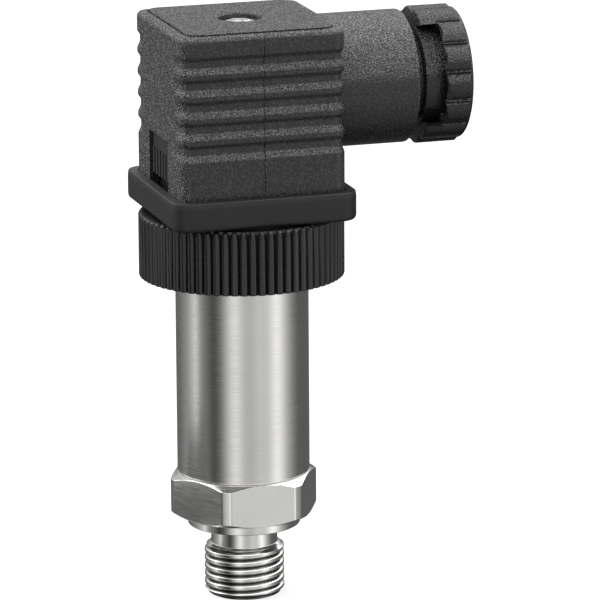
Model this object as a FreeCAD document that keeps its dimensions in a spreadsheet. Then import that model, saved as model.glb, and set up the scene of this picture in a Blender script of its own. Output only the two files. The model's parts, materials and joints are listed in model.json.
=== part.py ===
import FreeCAD, Part
import math
import os

import Sketcher
from FreeCAD import Placement, Rotation, Vector

# Pressure transmitter: a steel process connection with a male pipe thread, a welded steel tube,
# a knurled union ring, and an angled four-pole plug with a cable gland on its side.
# Millimetres. +Z runs up the sensor's axis, the gland points along +X and the ribbed face of the
# plug looks along -Y. The origin is the centre of the sealing face that seats on the pipework.

DRIVING_SIZES = [
    # Process connection, measured up and down from its sealing face
    ("stud_radius", 6.55),
    ("stud_length", 12.0),
    ("stud_tip_radius", 5.55),
    ("relief_radius", 5.45),
    ("relief_height", 3.3),
    ("relief_cone", 0.6),
    ("port_radius", 1.75),
    ("collar_radius", 9.23),
    ("collar_height", 1.8),
    ("collar_bevel", 0.2),
    ("hex_across_flats", 22.0),
    ("hex_corner_radius", 12.25),
    ("hex_height", 7.2),
    ("hex_foot_radius", 10.95),
    ("hex_crown_radius", 10.7),
    ("hex_bevel_slope", 0.577),
    ("weld_radius", 10.55),
    ("weld_height", 0.2),
    ("upstand_height", 5.0),
    # Measuring cell and its seal
    ("cell_radius", 9.0),
    ("cell_height", 6.35),
    ("cell_gap", 0.15),
    ("cell_floor", 5.2),
    ("cell_seal_radius", 6.5),
    ("cell_seal_section", 0.75),
    ("cell_seal_stand", 0.2),
    ("seal_groove_gap", 0.1),
    ("clamp_height", 2.0),
    ("clamp_bore_radius", 6.5),
    ("clamp_slot_width", 2.0),
    ("clamp_slot_depth", 0.8),
    # Tube
    ("tube_radius", 10.85),
    ("tube_wall", 1.0),
    ("tube_length", 37.2),
    ("tube_edge", 0.15),
    ("flange_gap", 0.7),
    ("flange_height", 2.0),
    # Union ring
    ("ring_radius", 16.74),
    ("ring_wall", 2.66),
    ("ring_height", 10.4),
    ("ring_floor", 2.3),
    ("ring_bore_gap", 0.12),
    ("ring_floor_gap", 0.1),
    ("ring_foot_edge", 0.5),
    ("ring_crown_edge", 0.8),
    ("knurl_depth", 0.48),
    ("knurl_half_width", 0.68),
    ("knurl_round", 0.85),
    # Plug base inside the ring
    ("thread_gap", 0.08),
    ("base_hollow_radius", 11.5),
    ("base_seal_width", 2.45),
    ("base_seal_height", 1.0),
    ("base_plate_height", 2.3),
    ("base_square", 27.0),
    ("base_corner", 1.6),
    ("base_lip_height", 1.5),
    ("head_gap", 0.3),
    ("boss_radius", 3.6),
    ("boss_height", 4.0),
    ("insert_radius", 2.4),
    ("insert_height", 5.6),
    ("press_gap", 0.02),
    ("pin_width", 6.3),
    ("pin_thickness", 0.8),
    ("pin_reach", 10.0),
    ("pin_tail", 4.8),
    ("pin_tip", 0.25),
    ("pin_offset", 9.0),
    ("pin_gap", 0.1),
    # Electronics in the tube
    ("carrier_height", 3.0),
    ("carrier_gap", 0.12),
    ("carrier_bore_radius", 5.0),
    ("board_width", 16.0),
    ("board_thickness", 1.6),
    ("board_sink", 2.0),
    ("chip_width", 6.0),
    ("chip_height", 4.4),
    ("chip_thickness", 1.1),
    ("chip_foot", 6.4),
    ("chip_pitch", 8.8),
    ("header_pitch", 2.54),
    ("header_height", 2.5),
    ("header_pin", 0.64),
    ("header_pin_rise", 4.3),
    ("header_pin_foot", 3.0),
    ("socket_height", 5.0),
    ("socket_gap", 0.3),
    ("socket_hole_gap", 0.15),
    ("cell_pin_radius", 0.3),
    ("cell_pin_lap", 3.0),
    ("contact_board_radius", 10.5),
    ("contact_board_thickness", 1.6),
    ("contact_board_drop", 0.3),
    # Gasket between base and plug
    ("gasket_square", 30.9),
    ("gasket_corner", 3.0),
    ("gasket_web", 1.2),
    ("gasket_rim_height", 2.1),
    ("gasket_opening", 21.0),
    ("gasket_gap", 0.06),
    ("gasket_foot_round", 1.75),
    ("gasket_rim_round", 0.45),
    # Plug housing
    ("plug_square", 27.54),
    ("plug_corner", 2.0),
    ("plug_height", 28.5),
    ("plug_wall", 1.6),
    ("plug_roof", 2.2),
    ("plug_edge", 0.9),
    ("wave_depth", 0.48),
    ("wave_half_height", 1.7),
    ("wave_pitch", 3.53),
    ("wave_first_height", 10.0),
    ("wave_runout_angle", 10.0),
    ("wave_runout", 5.0),
    ("window_width", 10.9),
    ("window_height", 10.3),
    ("duct_radius", 3.4),
    ("gland_height", 17.45),
    ("neck_radius", 10.87),
    ("neck_reach", 27.2),
    ("neck_edge", 0.6),
    ("gland_thread_radius", 8.0),
    ("gland_seat", 14.5),
    ("gland_passage_radius", 5.5),
    # Cover on top of the plug
    ("cover_width", 24.2),
    ("cover_depth", 25.1),
    ("cover_corner", 2.0),
    ("cover_height", 1.5),
    ("cover_stand", 0.25),
    ("cover_gap", 0.22),
    ("cover_edge", 0.12),
    ("cover_hole_radius", 3.55),
    ("cover_hole_edge", 0.25),
    # Terminal block and its contacts
    ("block_gap", 0.15),
    ("block_corner", 1.0),
    ("block_lift", 0.3),
    ("block_height", 14.3),
    ("block_floor", 2.3),
    ("trough_half", 6.9),
    ("trough_floor", 9.8),
    ("tab_width", 10.5),
    ("tab_foot", 3.1),
    ("tab_height", 6.5),
    ("tab_recess", 0.55),
    ("rib_width", 0.9),
    ("rib_pitch", 1.6),
    ("rib_height", 4.2),
    ("rib_depth", 0.25),
    ("contact_width", 7.0),
    ("contact_depth", 4.4),
    ("contact_height", 10.8),
    ("contact_slot_height", 6.8),
    ("contact_gap", 0.1),
    ("wire_hole_radius", 1.1),
    ("wire_hole_height", 9.2),
    ("terminal_screw_radius", 1.2),
    ("terminal_head_radius", 2.0),
    ("terminal_head_height", 1.2),
    ("terminal_screw_length", 1.6),
    ("terminal_slot_width", 0.5),
    ("terminal_slot_depth", 0.6),
    # Fixing screw down the middle of the plug
    ("screw_radius", 1.45),
    ("screw_gap", 0.05),
    ("screw_hole_radius", 1.8),
    ("screw_head_radius", 2.9),
    ("screw_head_height", 1.5),
    ("screw_head_sink", 0.9),
    ("screw_cross_width", 0.8),
    ("screw_cross_length", 3.8),
    ("screw_cross_depth", 0.9),
    ("screw_seal_height", 0.5),
    ("screw_seal_gap", 0.2),
    # Cable gland
    ("grommet_bore_radius", 4.0),
    ("grommet_gap", 0.1),
    ("washer_height", 1.0),
    ("washer_bore_radius", 4.6),
    ("washer_gap", 0.05),
    ("nut_gap", 1.6),
    ("nut_spigot", 7.15),
    ("nut_hub_radius", 8.8),
    ("nut_hub_height", 2.7),
    ("nut_radius", 11.2),
    ("nut_height", 4.7),
    ("nut_edge", 0.8),
    ("lobe_depth", 0.46),
    ("lobe_radius", 4.3),
    ("nut_bore_radius", 4.3),
    ("nut_bore_length", 8.0),
    ("nut_mouth_radius", 6.2),
    ("nut_clocking", 11.1),
    ("nut_lug_radius", 10.5),
    ("nut_lug_spread", 36.0),
    ("nut_pocket_radius", 10.0),
    ("nut_pocket_depth", 3.0),
]

KNURLS = 70
WAVES = 5
LOBES = 14
RIBS = 6
HEADER_PINS = 4
HEX_SIDES = 6
CHIPS = 2
PAST = 1.2  # How far a cutting outline reaches past what it cuts, as a factor

doc = FreeCAD.newDocument("pressure_transmitter")
sheet = doc.addObject("Spreadsheet::Sheet", "Sizes")


class Size:
    """A length with the sheet expression that gives it, so that one formula serves both."""

    def __init__(self, value, text):
        self.value = value
        self.text = text

    def __add__(self, other):
        other = as_size(other)
        return Size(self.value + other.value, "(%s + %s)" % (self.text, other.text))

    def __sub__(self, other):
        other = as_size(other)
        return Size(self.value - other.value, "(%s - %s)" % (self.text, other.text))

    def __mul__(self, factor):
        factor = as_size(factor)
        return Size(self.value * factor.value, "(%s * %s)" % (self.text, factor.text))

    def __truediv__(self, divisor):
        divisor = as_size(divisor)
        return Size(self.value / divisor.value, "(%s / %s)" % (self.text, divisor.text))

    def __neg__(self):
        return Size(-self.value, "(0 - %s)" % self.text)


def as_size(item):
    """Any plain number as a Size, and a Size as it is."""
    return item if isinstance(item, Size) else Size(float(item), "%.6f" % item)


def sine(angle):
    return Size(math.sin(math.radians(angle.value)), "sin(%s)" % angle.text)


def cosine(angle):
    return Size(math.cos(math.radians(angle.value)), "cos(%s)" % angle.text)


class Dims:
    """The driving sizes by name, as dims.tube_radius."""


dims = Dims()
for row, (alias, number) in enumerate(DRIVING_SIZES, 1):
    sheet.set("A%d" % row, alias)
    sheet.set("B%d" % row, str(number))
    sheet.setAlias("B%d" % row, alias)
    setattr(dims, alias, Size(float(number), "Sizes." + alias))
doc.recompute()
ZERO = as_size(0)


# Heights of the stack, each from the piece below it
hex_top = dims.collar_height + dims.hex_height
tube_foot = hex_top + dims.weld_height
tube_top = tube_foot + dims.tube_length
flange_foot = tube_top - dims.flange_height
ring_foot = flange_foot - dims.ring_floor_gap - dims.ring_floor
ring_top = ring_foot + dims.ring_height
spigot_foot = tube_top + dims.base_seal_height
lip_foot = ring_top + dims.head_gap
base_top = lip_foot + dims.base_lip_height
plug_foot = base_top + dims.gasket_web
plug_top = plug_foot + dims.plug_height
block_foot = plug_foot + dims.block_lift
gland_axis = plug_foot + dims.gland_height
cover_floor = plug_top + dims.cover_stand - dims.cover_height
cell_foot = dims.cell_floor + dims.cell_seal_stand
cell_top = cell_foot + dims.cell_height
upstand_top = tube_foot + dims.upstand_height
tube_bore = dims.tube_radius - dims.tube_wall
contact_board_top = lip_foot + dims.base_lip_height - dims.base_plate_height - dims.contact_board_drop
contact_board_foot = contact_board_top - dims.contact_board_thickness


# Radii inside the ring, each from the one around it
ring_thread = dims.ring_radius - dims.ring_wall
base_thread = ring_thread - dims.thread_gap
flange_radius = base_thread - dims.flange_gap


# Small tools for bodies, sketches and features

def new_body(label):
    body = doc.addObject("PartDesign::Body", label)
    body.Label = label
    return body


def place(body, height=ZERO, across=ZERO, towards=ZERO, rotation=None):
    """Set a body's placement, tied to the sheet."""
    if rotation is not None:
        body.Placement = Placement(Vector(0, 0, 0), rotation)
    body.setExpression("Placement.Base.x", across.text)
    body.setExpression("Placement.Base.y", towards.text)
    body.setExpression("Placement.Base.z", height.text)


def origin_feature(body, role):
    for feature in body.Origin.OriginFeatures:
        if feature.Role == role:
            return feature
    raise ValueError("no origin feature " + role)


def new_sketch(body, name, plane="XY_Plane", start=ZERO):
    """An empty sketch on one of the body's own origin planes, moved along that plane's normal."""
    sketch = body.newObject("Sketcher::SketchObject", name)
    sketch.AttachmentSupport = (origin_feature(body, plane), [""])
    sketch.MapMode = "FlatFace"
    sketch.setExpression("AttachmentOffset.Base.z", start.text)
    return sketch


def arc_between(first, last, radius):
    """The shorter arc from first to last; a negative radius turns clockwise."""
    middle = (first + last) * 0.5
    along = last - first
    left = Vector(-along.y, along.x, 0).normalize()
    rise = math.sqrt(max(radius * radius - along.Length ** 2 / 4, 0.0))
    turn = 1 if radius > 0 else -1
    centre = middle + left * (rise * turn)
    circle = Part.Circle(centre, Vector(0, 0, 1), abs(radius))
    start, end = (first, last) if turn > 0 else (last, first)
    return Part.ArcOfCircle(circle, circle.parameter(start), circle.parameter(end))


def draw_outline(sketch, corners):
    """A closed outline. Each corner is (across, up) or (across, up, radius of the arc that follows)."""
    spots = [Vector(corner[0].value, corner[1].value, 0) for corner in corners]
    count = len(corners)
    shapes = []
    for index, corner in enumerate(corners):
        following = spots[(index + 1) % count]
        if len(corner) == 3:
            shapes.append(arc_between(spots[index], following, corner[2].value))
        else:
            shapes.append(Part.LineSegment(spots[index], following))
    first = sketch.addGeometry(shapes, False)[0]
    rules = []
    bound = []
    for index, corner in enumerate(corners):
        this_end = 1 if len(corner) == 3 and corner[2].value < 0 else 2
        begin = 3 - this_end
        after = corners[(index + 1) % count]
        after_begin = 2 if len(after) == 3 and after[2].value < 0 else 1
        shape = first + index
        next_shape = first + (index + 1) % count
        rules.append(Sketcher.Constraint("Coincident", shape, this_end, next_shape, after_begin))
        for kind, distance in (("DistanceX", corner[0]), ("DistanceY", corner[1])):
            bound.append((len(rules), distance.text))
            rules.append(Sketcher.Constraint(kind, shape, begin, distance.value))
        if len(corner) == 3:
            radius = corner[2] if corner[2].value > 0 else -corner[2]
            bound.append((len(rules), radius.text))
            rules.append(Sketcher.Constraint("Radius", shape, radius.value))
    sketch.addConstraint(rules)
    for index, text in bound:
        sketch.setExpression("Constraints[%d]" % index, text)
    return sketch


def draw_circle(sketch, radius, across=ZERO, up=ZERO):
    circle = Part.Circle(Vector(across.value, up.value, 0), Vector(0, 0, 1), radius.value)
    index = sketch.addGeometry(circle, False)
    sizes = (("DistanceX", across), ("DistanceY", up))
    for kind, distance in sizes:
        number = sketch.addConstraint(Sketcher.Constraint(kind, index, 3, distance.value))
        sketch.setExpression("Constraints[%d]" % number, distance.text)
    number = sketch.addConstraint(Sketcher.Constraint("Radius", index, radius.value))
    sketch.setExpression("Constraints[%d]" % number, radius.text)
    return sketch


def draw_rectangle(sketch, width, depth, across=ZERO, up=ZERO, corner=None):
    """A rectangle about (across, up), with round corners where a radius is given."""
    left, right = across - width / 2, across + width / 2
    low, high = up - depth / 2, up + depth / 2
    if corner is None:
        return draw_outline(sketch, [(left, low), (right, low), (right, high), (left, high)])
    return draw_outline(sketch, [
        (left + corner, low), (right - corner, low, corner),
        (right, low + corner), (right, high - corner, corner),
        (right - corner, high), (left + corner, high, corner),
        (left, high - corner), (left, low + corner, corner),
    ])


def finish_feature(body, feature):
    body.Tip = feature
    doc.recompute()
    return feature


def revolve(body, name, corners):
    """Turn an outline of (radius, height) corners about the body's Z axis."""
    sketch = draw_outline(new_sketch(body, name + "_outline", "XZ_Plane"), corners)
    feature = body.newObject("PartDesign::Revolution", name)
    feature.Profile = sketch
    feature.ReferenceAxis = (sketch, ["V_Axis"])
    feature.Angle = 360
    return finish_feature(body, feature)


def pad(body, name, sketch, length):
    feature = body.newObject("PartDesign::Pad", name)
    feature.Profile = sketch
    feature.setExpression("Length", length.text)
    return finish_feature(body, feature)


def pocket(body, name, sketch, length):
    """Cut from the sketch's plane along its normal."""
    feature = body.newObject("PartDesign::Pocket", name)
    feature.Profile = sketch
    feature.Reversed = True
    feature.setExpression("Length", length.text)
    return finish_feature(body, feature)


def around(body, name, feature, count):
    """Repeat a feature evenly about the body's Z axis."""
    pattern = body.newObject("PartDesign::PolarPattern", name)
    pattern.Originals = [feature]
    pattern.Axis = (origin_feature(body, "Z_Axis"), [""])
    pattern.Angle = 360
    pattern.Occurrences = count
    return finish_feature(body, pattern)


def along(body, name, features, role, length, count):
    """Repeat features in a straight row along one of the body's own axes."""
    pattern = body.newObject("PartDesign::LinearPattern", name)
    pattern.Originals = features
    pattern.Direction = (origin_feature(body, role), [""])
    pattern.setExpression("Length", length.text)
    pattern.Occurrences = count
    return finish_feature(body, pattern)


def dress(body, kind, name, edges, amount):
    """Round or bevel the edges of the body's last feature."""
    base = body.Tip
    feature = body.newObject(kind, name)
    feature.Base = (base, edges)
    feature.setExpression("Radius" if kind.endswith("Fillet") else "Size", amount.text)
    return finish_feature(body, feature)


def edges_where(body, test):
    """Names of the edges of the body's last feature whose both ends and middle pass the test."""
    names = []
    for index, edge in enumerate(body.Tip.Shape.Edges, 1):
        middle = edge.valueAt((edge.FirstParameter + edge.LastParameter) / 2)
        spots = [vertex.Point for vertex in edge.Vertexes] + [middle]
        if all(test(spot) for spot in spots):
            names.append("Edge%d" % index)
    return names


def near(value, target, slack=0.01):
    return abs(value - target) < slack


def turned(label, corners, height=ZERO):
    body = new_body(label)
    revolve(body, label + "_turned", corners)
    place(body, height)
    return body


def block(label, width, depth, height, foot, across=ZERO, towards=ZERO, corner=None):
    body = new_body(label)
    sketch = draw_rectangle(new_sketch(body, label + "_plan"), width, depth, corner=corner)
    pad(body, label + "_pad", sketch, height)
    place(body, foot, across, towards)
    return body


# Process connection: bored pipe thread, collar, hexagon and the upstand that holds the cell

def process_connection():
    body = new_body("process_connection")
    tip = -dims.stud_length
    stud_bevel = dims.stud_radius - dims.stud_tip_radius
    seat_radius = dims.cell_radius + dims.cell_gap
    groove_floor = dims.cell_floor - dims.cell_seal_section * 2 + dims.cell_seal_stand
    groove_inner = dims.cell_seal_radius - dims.cell_seal_section - dims.seal_groove_gap
    groove_outer = dims.cell_seal_radius + dims.cell_seal_section + dims.seal_groove_gap
    foot_bevel = (dims.hex_corner_radius - dims.hex_foot_radius) * dims.hex_bevel_slope
    crown_bevel = (dims.hex_corner_radius - dims.hex_crown_radius) * dims.hex_bevel_slope
    upstand_radius = tube_bore - dims.press_gap
    revolve(body, "connection_turned", [
        (dims.port_radius, tip),
        (dims.stud_tip_radius, tip),
        (dims.stud_radius, tip + stud_bevel),
        (dims.stud_radius, -dims.relief_height - dims.relief_cone),
        (dims.relief_radius, -dims.relief_height),
        (dims.relief_radius, ZERO),
        (dims.collar_radius - dims.collar_bevel, ZERO),
        (dims.collar_radius, dims.collar_bevel),
        (dims.collar_radius, dims.collar_height),
        (dims.hex_foot_radius, dims.collar_height),
        (dims.hex_corner_radius, dims.collar_height + foot_bevel),
        (dims.hex_corner_radius, hex_top - crown_bevel),
        (dims.hex_crown_radius, hex_top),
        (dims.weld_radius, hex_top),
        (dims.weld_radius, tube_foot),
        (upstand_radius, tube_foot),
        (upstand_radius, upstand_top),
        (seat_radius, upstand_top),
        (seat_radius, dims.cell_floor),
        (groove_outer, dims.cell_floor),
        (groove_outer, groove_floor),
        (groove_inner, groove_floor),
        (groove_inner, dims.cell_floor),
        (dims.port_radius, dims.cell_floor),
    ])
    outside = dims.hex_corner_radius * PAST
    flat = dims.hex_across_flats / 2
    sketch = new_sketch(body, "hex_flat_plan", start=dims.collar_height)
    draw_outline(sketch, [(-outside, -outside), (outside, -outside), (outside, -flat), (-outside, -flat)])
    first = pocket(body, "hex_flat", sketch, dims.hex_height)
    around(body, "hex_flats", first, HEX_SIDES)
    return body


def cell_parts():
    half = dims.cell_seal_section - dims.press_gap
    bevel = half * 0.586
    inner, outer = dims.cell_seal_radius - half, dims.cell_seal_radius + half
    seal = turned("cell_seal", [
        (inner, bevel),
        (inner + bevel, ZERO),
        (outer - bevel, ZERO),
        (outer, bevel),
        (outer, half * 2 - bevel),
        (outer - bevel, half * 2),
        (inner + bevel, half * 2),
        (inner, half * 2 - bevel),
    ], cell_foot - dims.cell_seal_section - half)
    cell = turned("pressure_cell", [
        (ZERO, ZERO),
        (dims.cell_radius, ZERO),
        (dims.cell_radius, dims.cell_height),
        (ZERO, dims.cell_height),
    ], cell_foot)
    clamp = turned("clamp_ring", [
        (dims.clamp_bore_radius, ZERO),
        (dims.cell_radius + dims.thread_gap, ZERO),
        (dims.cell_radius + dims.thread_gap, dims.clamp_height),
        (dims.clamp_bore_radius, dims.clamp_height),
    ], cell_top)
    slot = new_sketch(clamp, "clamp_slot_plan", start=dims.clamp_height - dims.clamp_slot_depth)
    draw_rectangle(slot, dims.cell_radius * 2 * PAST, dims.clamp_slot_width)
    pocket(clamp, "clamp_slot", slot, dims.clamp_slot_depth)
    return [seal, cell, clamp]


def housing_tube():
    edge = dims.tube_edge
    flange = dims.tube_length - dims.flange_height
    return turned("housing_tube", [
        (tube_bore, ZERO),
        (dims.tube_radius - edge, ZERO),
        (dims.tube_radius, edge),
        (dims.tube_radius, flange),
        (flange_radius, flange),
        (flange_radius, dims.tube_length),
        (tube_bore, dims.tube_length),
    ], tube_foot)


# Electronics: a board standing in a plastic carrier, joined to the cell below and the plug above

socket_foot = contact_board_foot - dims.socket_height
board_top = socket_foot - dims.socket_gap - dims.header_height
board_foot = upstand_top + dims.carrier_height - dims.board_sink
board_height = board_top - board_foot
board_back = dims.board_thickness / 2
header_line = board_back + dims.header_pin / 2
header_length = dims.header_pitch * HEADER_PINS


def header_columns():
    """Distances across the row of header pins, from its middle."""
    return [dims.header_pitch * (index - (HEADER_PINS - 1) / 2) for index in range(HEADER_PINS)]


def board_carrier():
    radius = tube_bore - dims.carrier_gap
    body = turned("board_carrier", [
        (dims.carrier_bore_radius, ZERO),
        (radius, ZERO),
        (radius, dims.carrier_height),
        (dims.carrier_bore_radius, dims.carrier_height),
    ], upstand_top)
    slot = new_sketch(body, "board_slot_plan", start=dims.carrier_height - dims.board_sink)
    draw_rectangle(slot, dims.board_width + dims.pin_gap * 2, dims.board_thickness + dims.pin_gap * 2)
    pocket(body, "board_slot", slot, dims.board_sink)
    return body


def grouped(label, members, height):
    """Like pieces kept as one group."""
    group = doc.addObject("Part::Compound", label)
    group.Label = label
    group.Links = members
    group.setExpression("Placement.Base.z", height.text)
    return group


def board_chips():
    """Two chips on the front of the board, one above the other."""
    chips = []
    for index in range(CHIPS):
        chip = doc.addObject("Part::Box", "chip_%d" % index)
        chip.setExpression("Length", dims.chip_width.text)
        chip.setExpression("Width", dims.chip_thickness.text)
        chip.setExpression("Height", dims.chip_height.text)
        chip.setExpression("Placement.Base.x", (-dims.chip_width / 2).text)
        chip.setExpression("Placement.Base.y", (-board_back - dims.chip_thickness).text)
        chip.setExpression("Placement.Base.z", (dims.chip_pitch * index).text)
        chips.append(chip)
    return grouped("board_chips", chips, board_foot + dims.chip_foot)


def cell_pins():
    """Straight pins from the cell's top face up the front of the board."""
    line = -board_back - dims.cell_pin_radius - dims.press_gap
    length = board_foot - cell_top + dims.cell_pin_lap
    pins = []
    for index, across in enumerate(header_columns()):
        pin = doc.addObject("Part::Cylinder", "cell_pin_%d" % index)
        pin.setExpression("Radius", dims.cell_pin_radius.text)
        pin.setExpression("Height", length.text)
        pin.setExpression("Placement.Base.x", across.text)
        pin.setExpression("Placement.Base.y", line.text)
        pins.append(pin)
    return grouped("cell_pins", pins, cell_top)


def board_header():
    """A plastic strip on the board's top edge, with square pins up through it."""
    body = new_body("board_header")
    strip = new_sketch(body, "strip_plan")
    draw_rectangle(strip, header_length, dims.header_pitch)
    pad(body, "strip", strip, dims.header_height)
    side = dims.header_pin
    pins = new_sketch(body, "pin_plan", start=-dims.header_pin_foot)
    draw_rectangle(pins, side, side, header_columns()[0])
    first = pad(body, "pin", pins, dims.header_pin_foot + dims.header_height + dims.header_pin_rise)
    reach = dims.header_pitch * (HEADER_PINS - 1)
    along(body, "pins", [first], "X_Axis", reach, HEADER_PINS)
    place(body, board_top, towards=header_line)
    return body


def board_socket():
    """The socket under the contact board, with a blind square hole for each header pin."""
    body = block("board_socket", header_length, dims.header_pitch, dims.socket_height, socket_foot,
                 towards=header_line)
    side = dims.header_pin + dims.socket_hole_gap * 2
    depth = dims.header_pin_rise - dims.socket_gap + dims.socket_hole_gap
    hole = new_sketch(body, "pin_hole_plan")
    draw_rectangle(hole, side, side, header_columns()[0])
    first = pocket(body, "pin_hole", hole, depth)
    reach = dims.header_pitch * (HEADER_PINS - 1)
    along(body, "pin_holes", [first], "X_Axis", reach, HEADER_PINS)
    return body


# Union ring: a bored cup whose rim is knurled all round

def knurled_ring():
    foot_edge, crown_edge = dims.ring_foot_edge, dims.ring_crown_edge
    bore = dims.tube_radius + dims.ring_bore_gap
    radius = dims.ring_radius
    body = turned("knurled_ring", [
        (bore, ZERO),
        (radius - foot_edge, ZERO),
        (radius, foot_edge),
        (radius, dims.ring_height - crown_edge),
        (radius - crown_edge, dims.ring_height),
        (ring_thread, dims.ring_height),
        (ring_thread, dims.ring_floor),
        (bore, dims.ring_floor),
    ], ring_foot)
    half = dims.knurl_half_width
    outside = radius + dims.knurl_depth
    groove = new_sketch(body, "knurl_plan")
    draw_outline(groove, [
        (outside, -half),
        (outside, half),
        (radius, half, -dims.knurl_round),
        (radius - dims.knurl_depth, ZERO, -dims.knurl_round),
        (radius, -half),
    ])
    first = pocket(body, "knurl_groove", groove, dims.ring_height)
    around(body, "knurl_grooves", first, KNURLS)
    return body


# Plug base: a threaded spigot under a square lip, with the contact pins and the threaded insert

PIN_ANGLES = {"1": 0, "2": 180, "3": 90, "earth": 270}


def pin_rectangle(sketch, angle, radial, tangential):
    """A rectangle at the pins' distance from the axis, its long side square to the radius."""
    side = dims.pin_offset * (1 if angle in (0, 90) else -1)
    if angle in (0, 180):
        return draw_rectangle(sketch, radial, tangential, across=side)
    return draw_rectangle(sketch, tangential, radial, up=side)


def socket_base():
    spigot = lip_foot - spigot_foot
    top = spigot + dims.base_lip_height
    hollow = top - dims.base_plate_height
    body = new_body("socket_base")
    revolve(body, "base_turned", [
        (dims.base_hollow_radius, ZERO),
        (base_thread, ZERO),
        (base_thread, spigot),
        (dims.base_square / 2 - dims.base_corner, spigot),
        (dims.base_square / 2 - dims.base_corner, top),
        (dims.boss_radius, top),
        (dims.boss_radius, top + dims.boss_height),
        (dims.insert_radius + dims.press_gap, top + dims.boss_height),
        (dims.insert_radius + dims.press_gap, top + dims.boss_height - dims.insert_height),
        (ZERO, top + dims.boss_height - dims.insert_height),
        (ZERO, hollow),
        (dims.base_hollow_radius, hollow),
    ])
    lip = new_sketch(body, "lip_plan", start=spigot)
    draw_rectangle(lip, dims.base_square, dims.base_square, corner=dims.base_corner)
    pad(body, "lip", lip, dims.base_lip_height)
    bore = new_sketch(body, "insert_hole_plan", start=top - dims.insert_height + dims.boss_height)
    draw_circle(bore, dims.insert_radius + dims.press_gap)
    pocket(body, "insert_hole", bore, dims.insert_height)
    for name, angle in PIN_ANGLES.items():
        slot = new_sketch(body, "pin_slot_%s_plan" % name, start=hollow)
        gap = dims.press_gap * 2
        pin_rectangle(slot, angle, dims.pin_thickness + gap, dims.pin_width + gap)
        pocket(body, "pin_slot_" + name, slot, dims.base_plate_height)
    place(body, spigot_foot)
    return body


def contact_pin(name, angle):
    """A flat blade with a bevelled tip, from below the contact board up into the plug."""
    label = "earth_pin" if name == "earth" else "contact_pin_" + name
    body = new_body(label)
    length = dims.pin_tail + dims.pin_reach
    sketch = new_sketch(body, label + "_plan")
    pin_rectangle(sketch, angle, dims.pin_thickness, dims.pin_width)
    pad(body, label + "_blade", sketch, length)
    tip = edges_where(body, lambda spot: near(spot.z, length.value))
    dress(body, "PartDesign::Chamfer", label + "_tip", tip, dims.pin_tip)
    place(body, base_top - dims.pin_tail)
    return body


def threaded_insert():
    bore = dims.screw_radius + dims.screw_gap
    return turned("threaded_insert", [
        (bore, ZERO),
        (dims.insert_radius, ZERO),
        (dims.insert_radius, dims.insert_height),
        (bore, dims.insert_height),
    ], base_top + dims.boss_height - dims.insert_height)


def contact_board():
    body = turned("contact_board", [
        (ZERO, ZERO),
        (dims.contact_board_radius, ZERO),
        (dims.contact_board_radius, dims.contact_board_thickness),
        (ZERO, dims.contact_board_thickness),
    ], contact_board_foot)
    for name, angle in PIN_ANGLES.items():
        slot = new_sketch(body, "board_pin_slot_%s_plan" % name)
        gap = dims.pin_gap * 2
        pin_rectangle(slot, angle, dims.pin_thickness + gap, dims.pin_width + gap)
        pocket(body, "board_pin_slot_" + name, slot, dims.contact_board_thickness)
    return body


def base_seal():
    inner = flange_radius - dims.base_seal_width
    return turned("base_seal", [
        (inner, ZERO),
        (flange_radius, ZERO),
        (flange_radius, dims.base_seal_height - dims.press_gap),
        (inner, dims.base_seal_height - dims.press_gap),
    ], tube_top)


# Profile gasket: a square rubber tray round the plug's foot and the base's lip

def flange_gasket():
    body = new_body("flange_gasket")
    height = dims.base_lip_height + dims.gasket_web + dims.gasket_rim_height
    outer = new_sketch(body, "tray_plan")
    draw_rectangle(outer, dims.gasket_square, dims.gasket_square, corner=dims.gasket_corner)
    pad(body, "tray", outer, height)
    half = dims.gasket_square.value / 2
    corner_spot = half - dims.gasket_corner.value
    foot = edges_where(body, lambda spot: near(spot.z, 0) and max(abs(spot.x), abs(spot.y)) > corner_spot)
    dress(body, "PartDesign::Fillet", "tray_foot_round", foot, dims.gasket_foot_round)
    rim = edges_where(body, lambda spot: near(spot.z, height.value))
    dress(body, "PartDesign::Fillet", "tray_rim_round", rim, dims.gasket_rim_round)
    opening = new_sketch(body, "opening_plan")
    draw_rectangle(opening, dims.gasket_opening, dims.gasket_opening, corner=dims.base_corner)
    pocket(body, "opening", opening, height)
    lip = new_sketch(body, "lip_seat_plan")
    lip_width = dims.base_square + dims.gasket_gap * 2
    draw_rectangle(lip, lip_width, lip_width, corner=dims.base_corner + dims.gasket_gap)
    pocket(body, "lip_seat", lip, dims.base_lip_height)
    seat = new_sketch(body, "plug_seat_plan", start=dims.base_lip_height + dims.gasket_web)
    seat_width = dims.plug_square + dims.gasket_gap * 2
    draw_rectangle(seat, seat_width, seat_width, corner=dims.plug_corner + dims.gasket_gap)
    pocket(body, "plug_seat", seat, dims.gasket_rim_height)
    place(body, lip_foot)
    return body


# Plug housing: a hollow block with wave-shaped grip grooves, a gland neck and a window in one side

def wave_outline(sketch, across, up):
    """The groove's section: a wave sunk into the wall, closed outside it by a straight edge."""
    half = dims.wave_half_height
    depth = dims.wave_depth
    bend = (half * half + depth * depth) / (depth * 4)
    draw_outline(sketch, [
        (across - depth, up - half),
        (across, up - half, bend),
        (across + depth / 2, up - half / 2, -bend),
        (across + depth / 2, up + half / 2, bend),
        (across, up + half),
        (across - depth, up + half),
    ])


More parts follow.
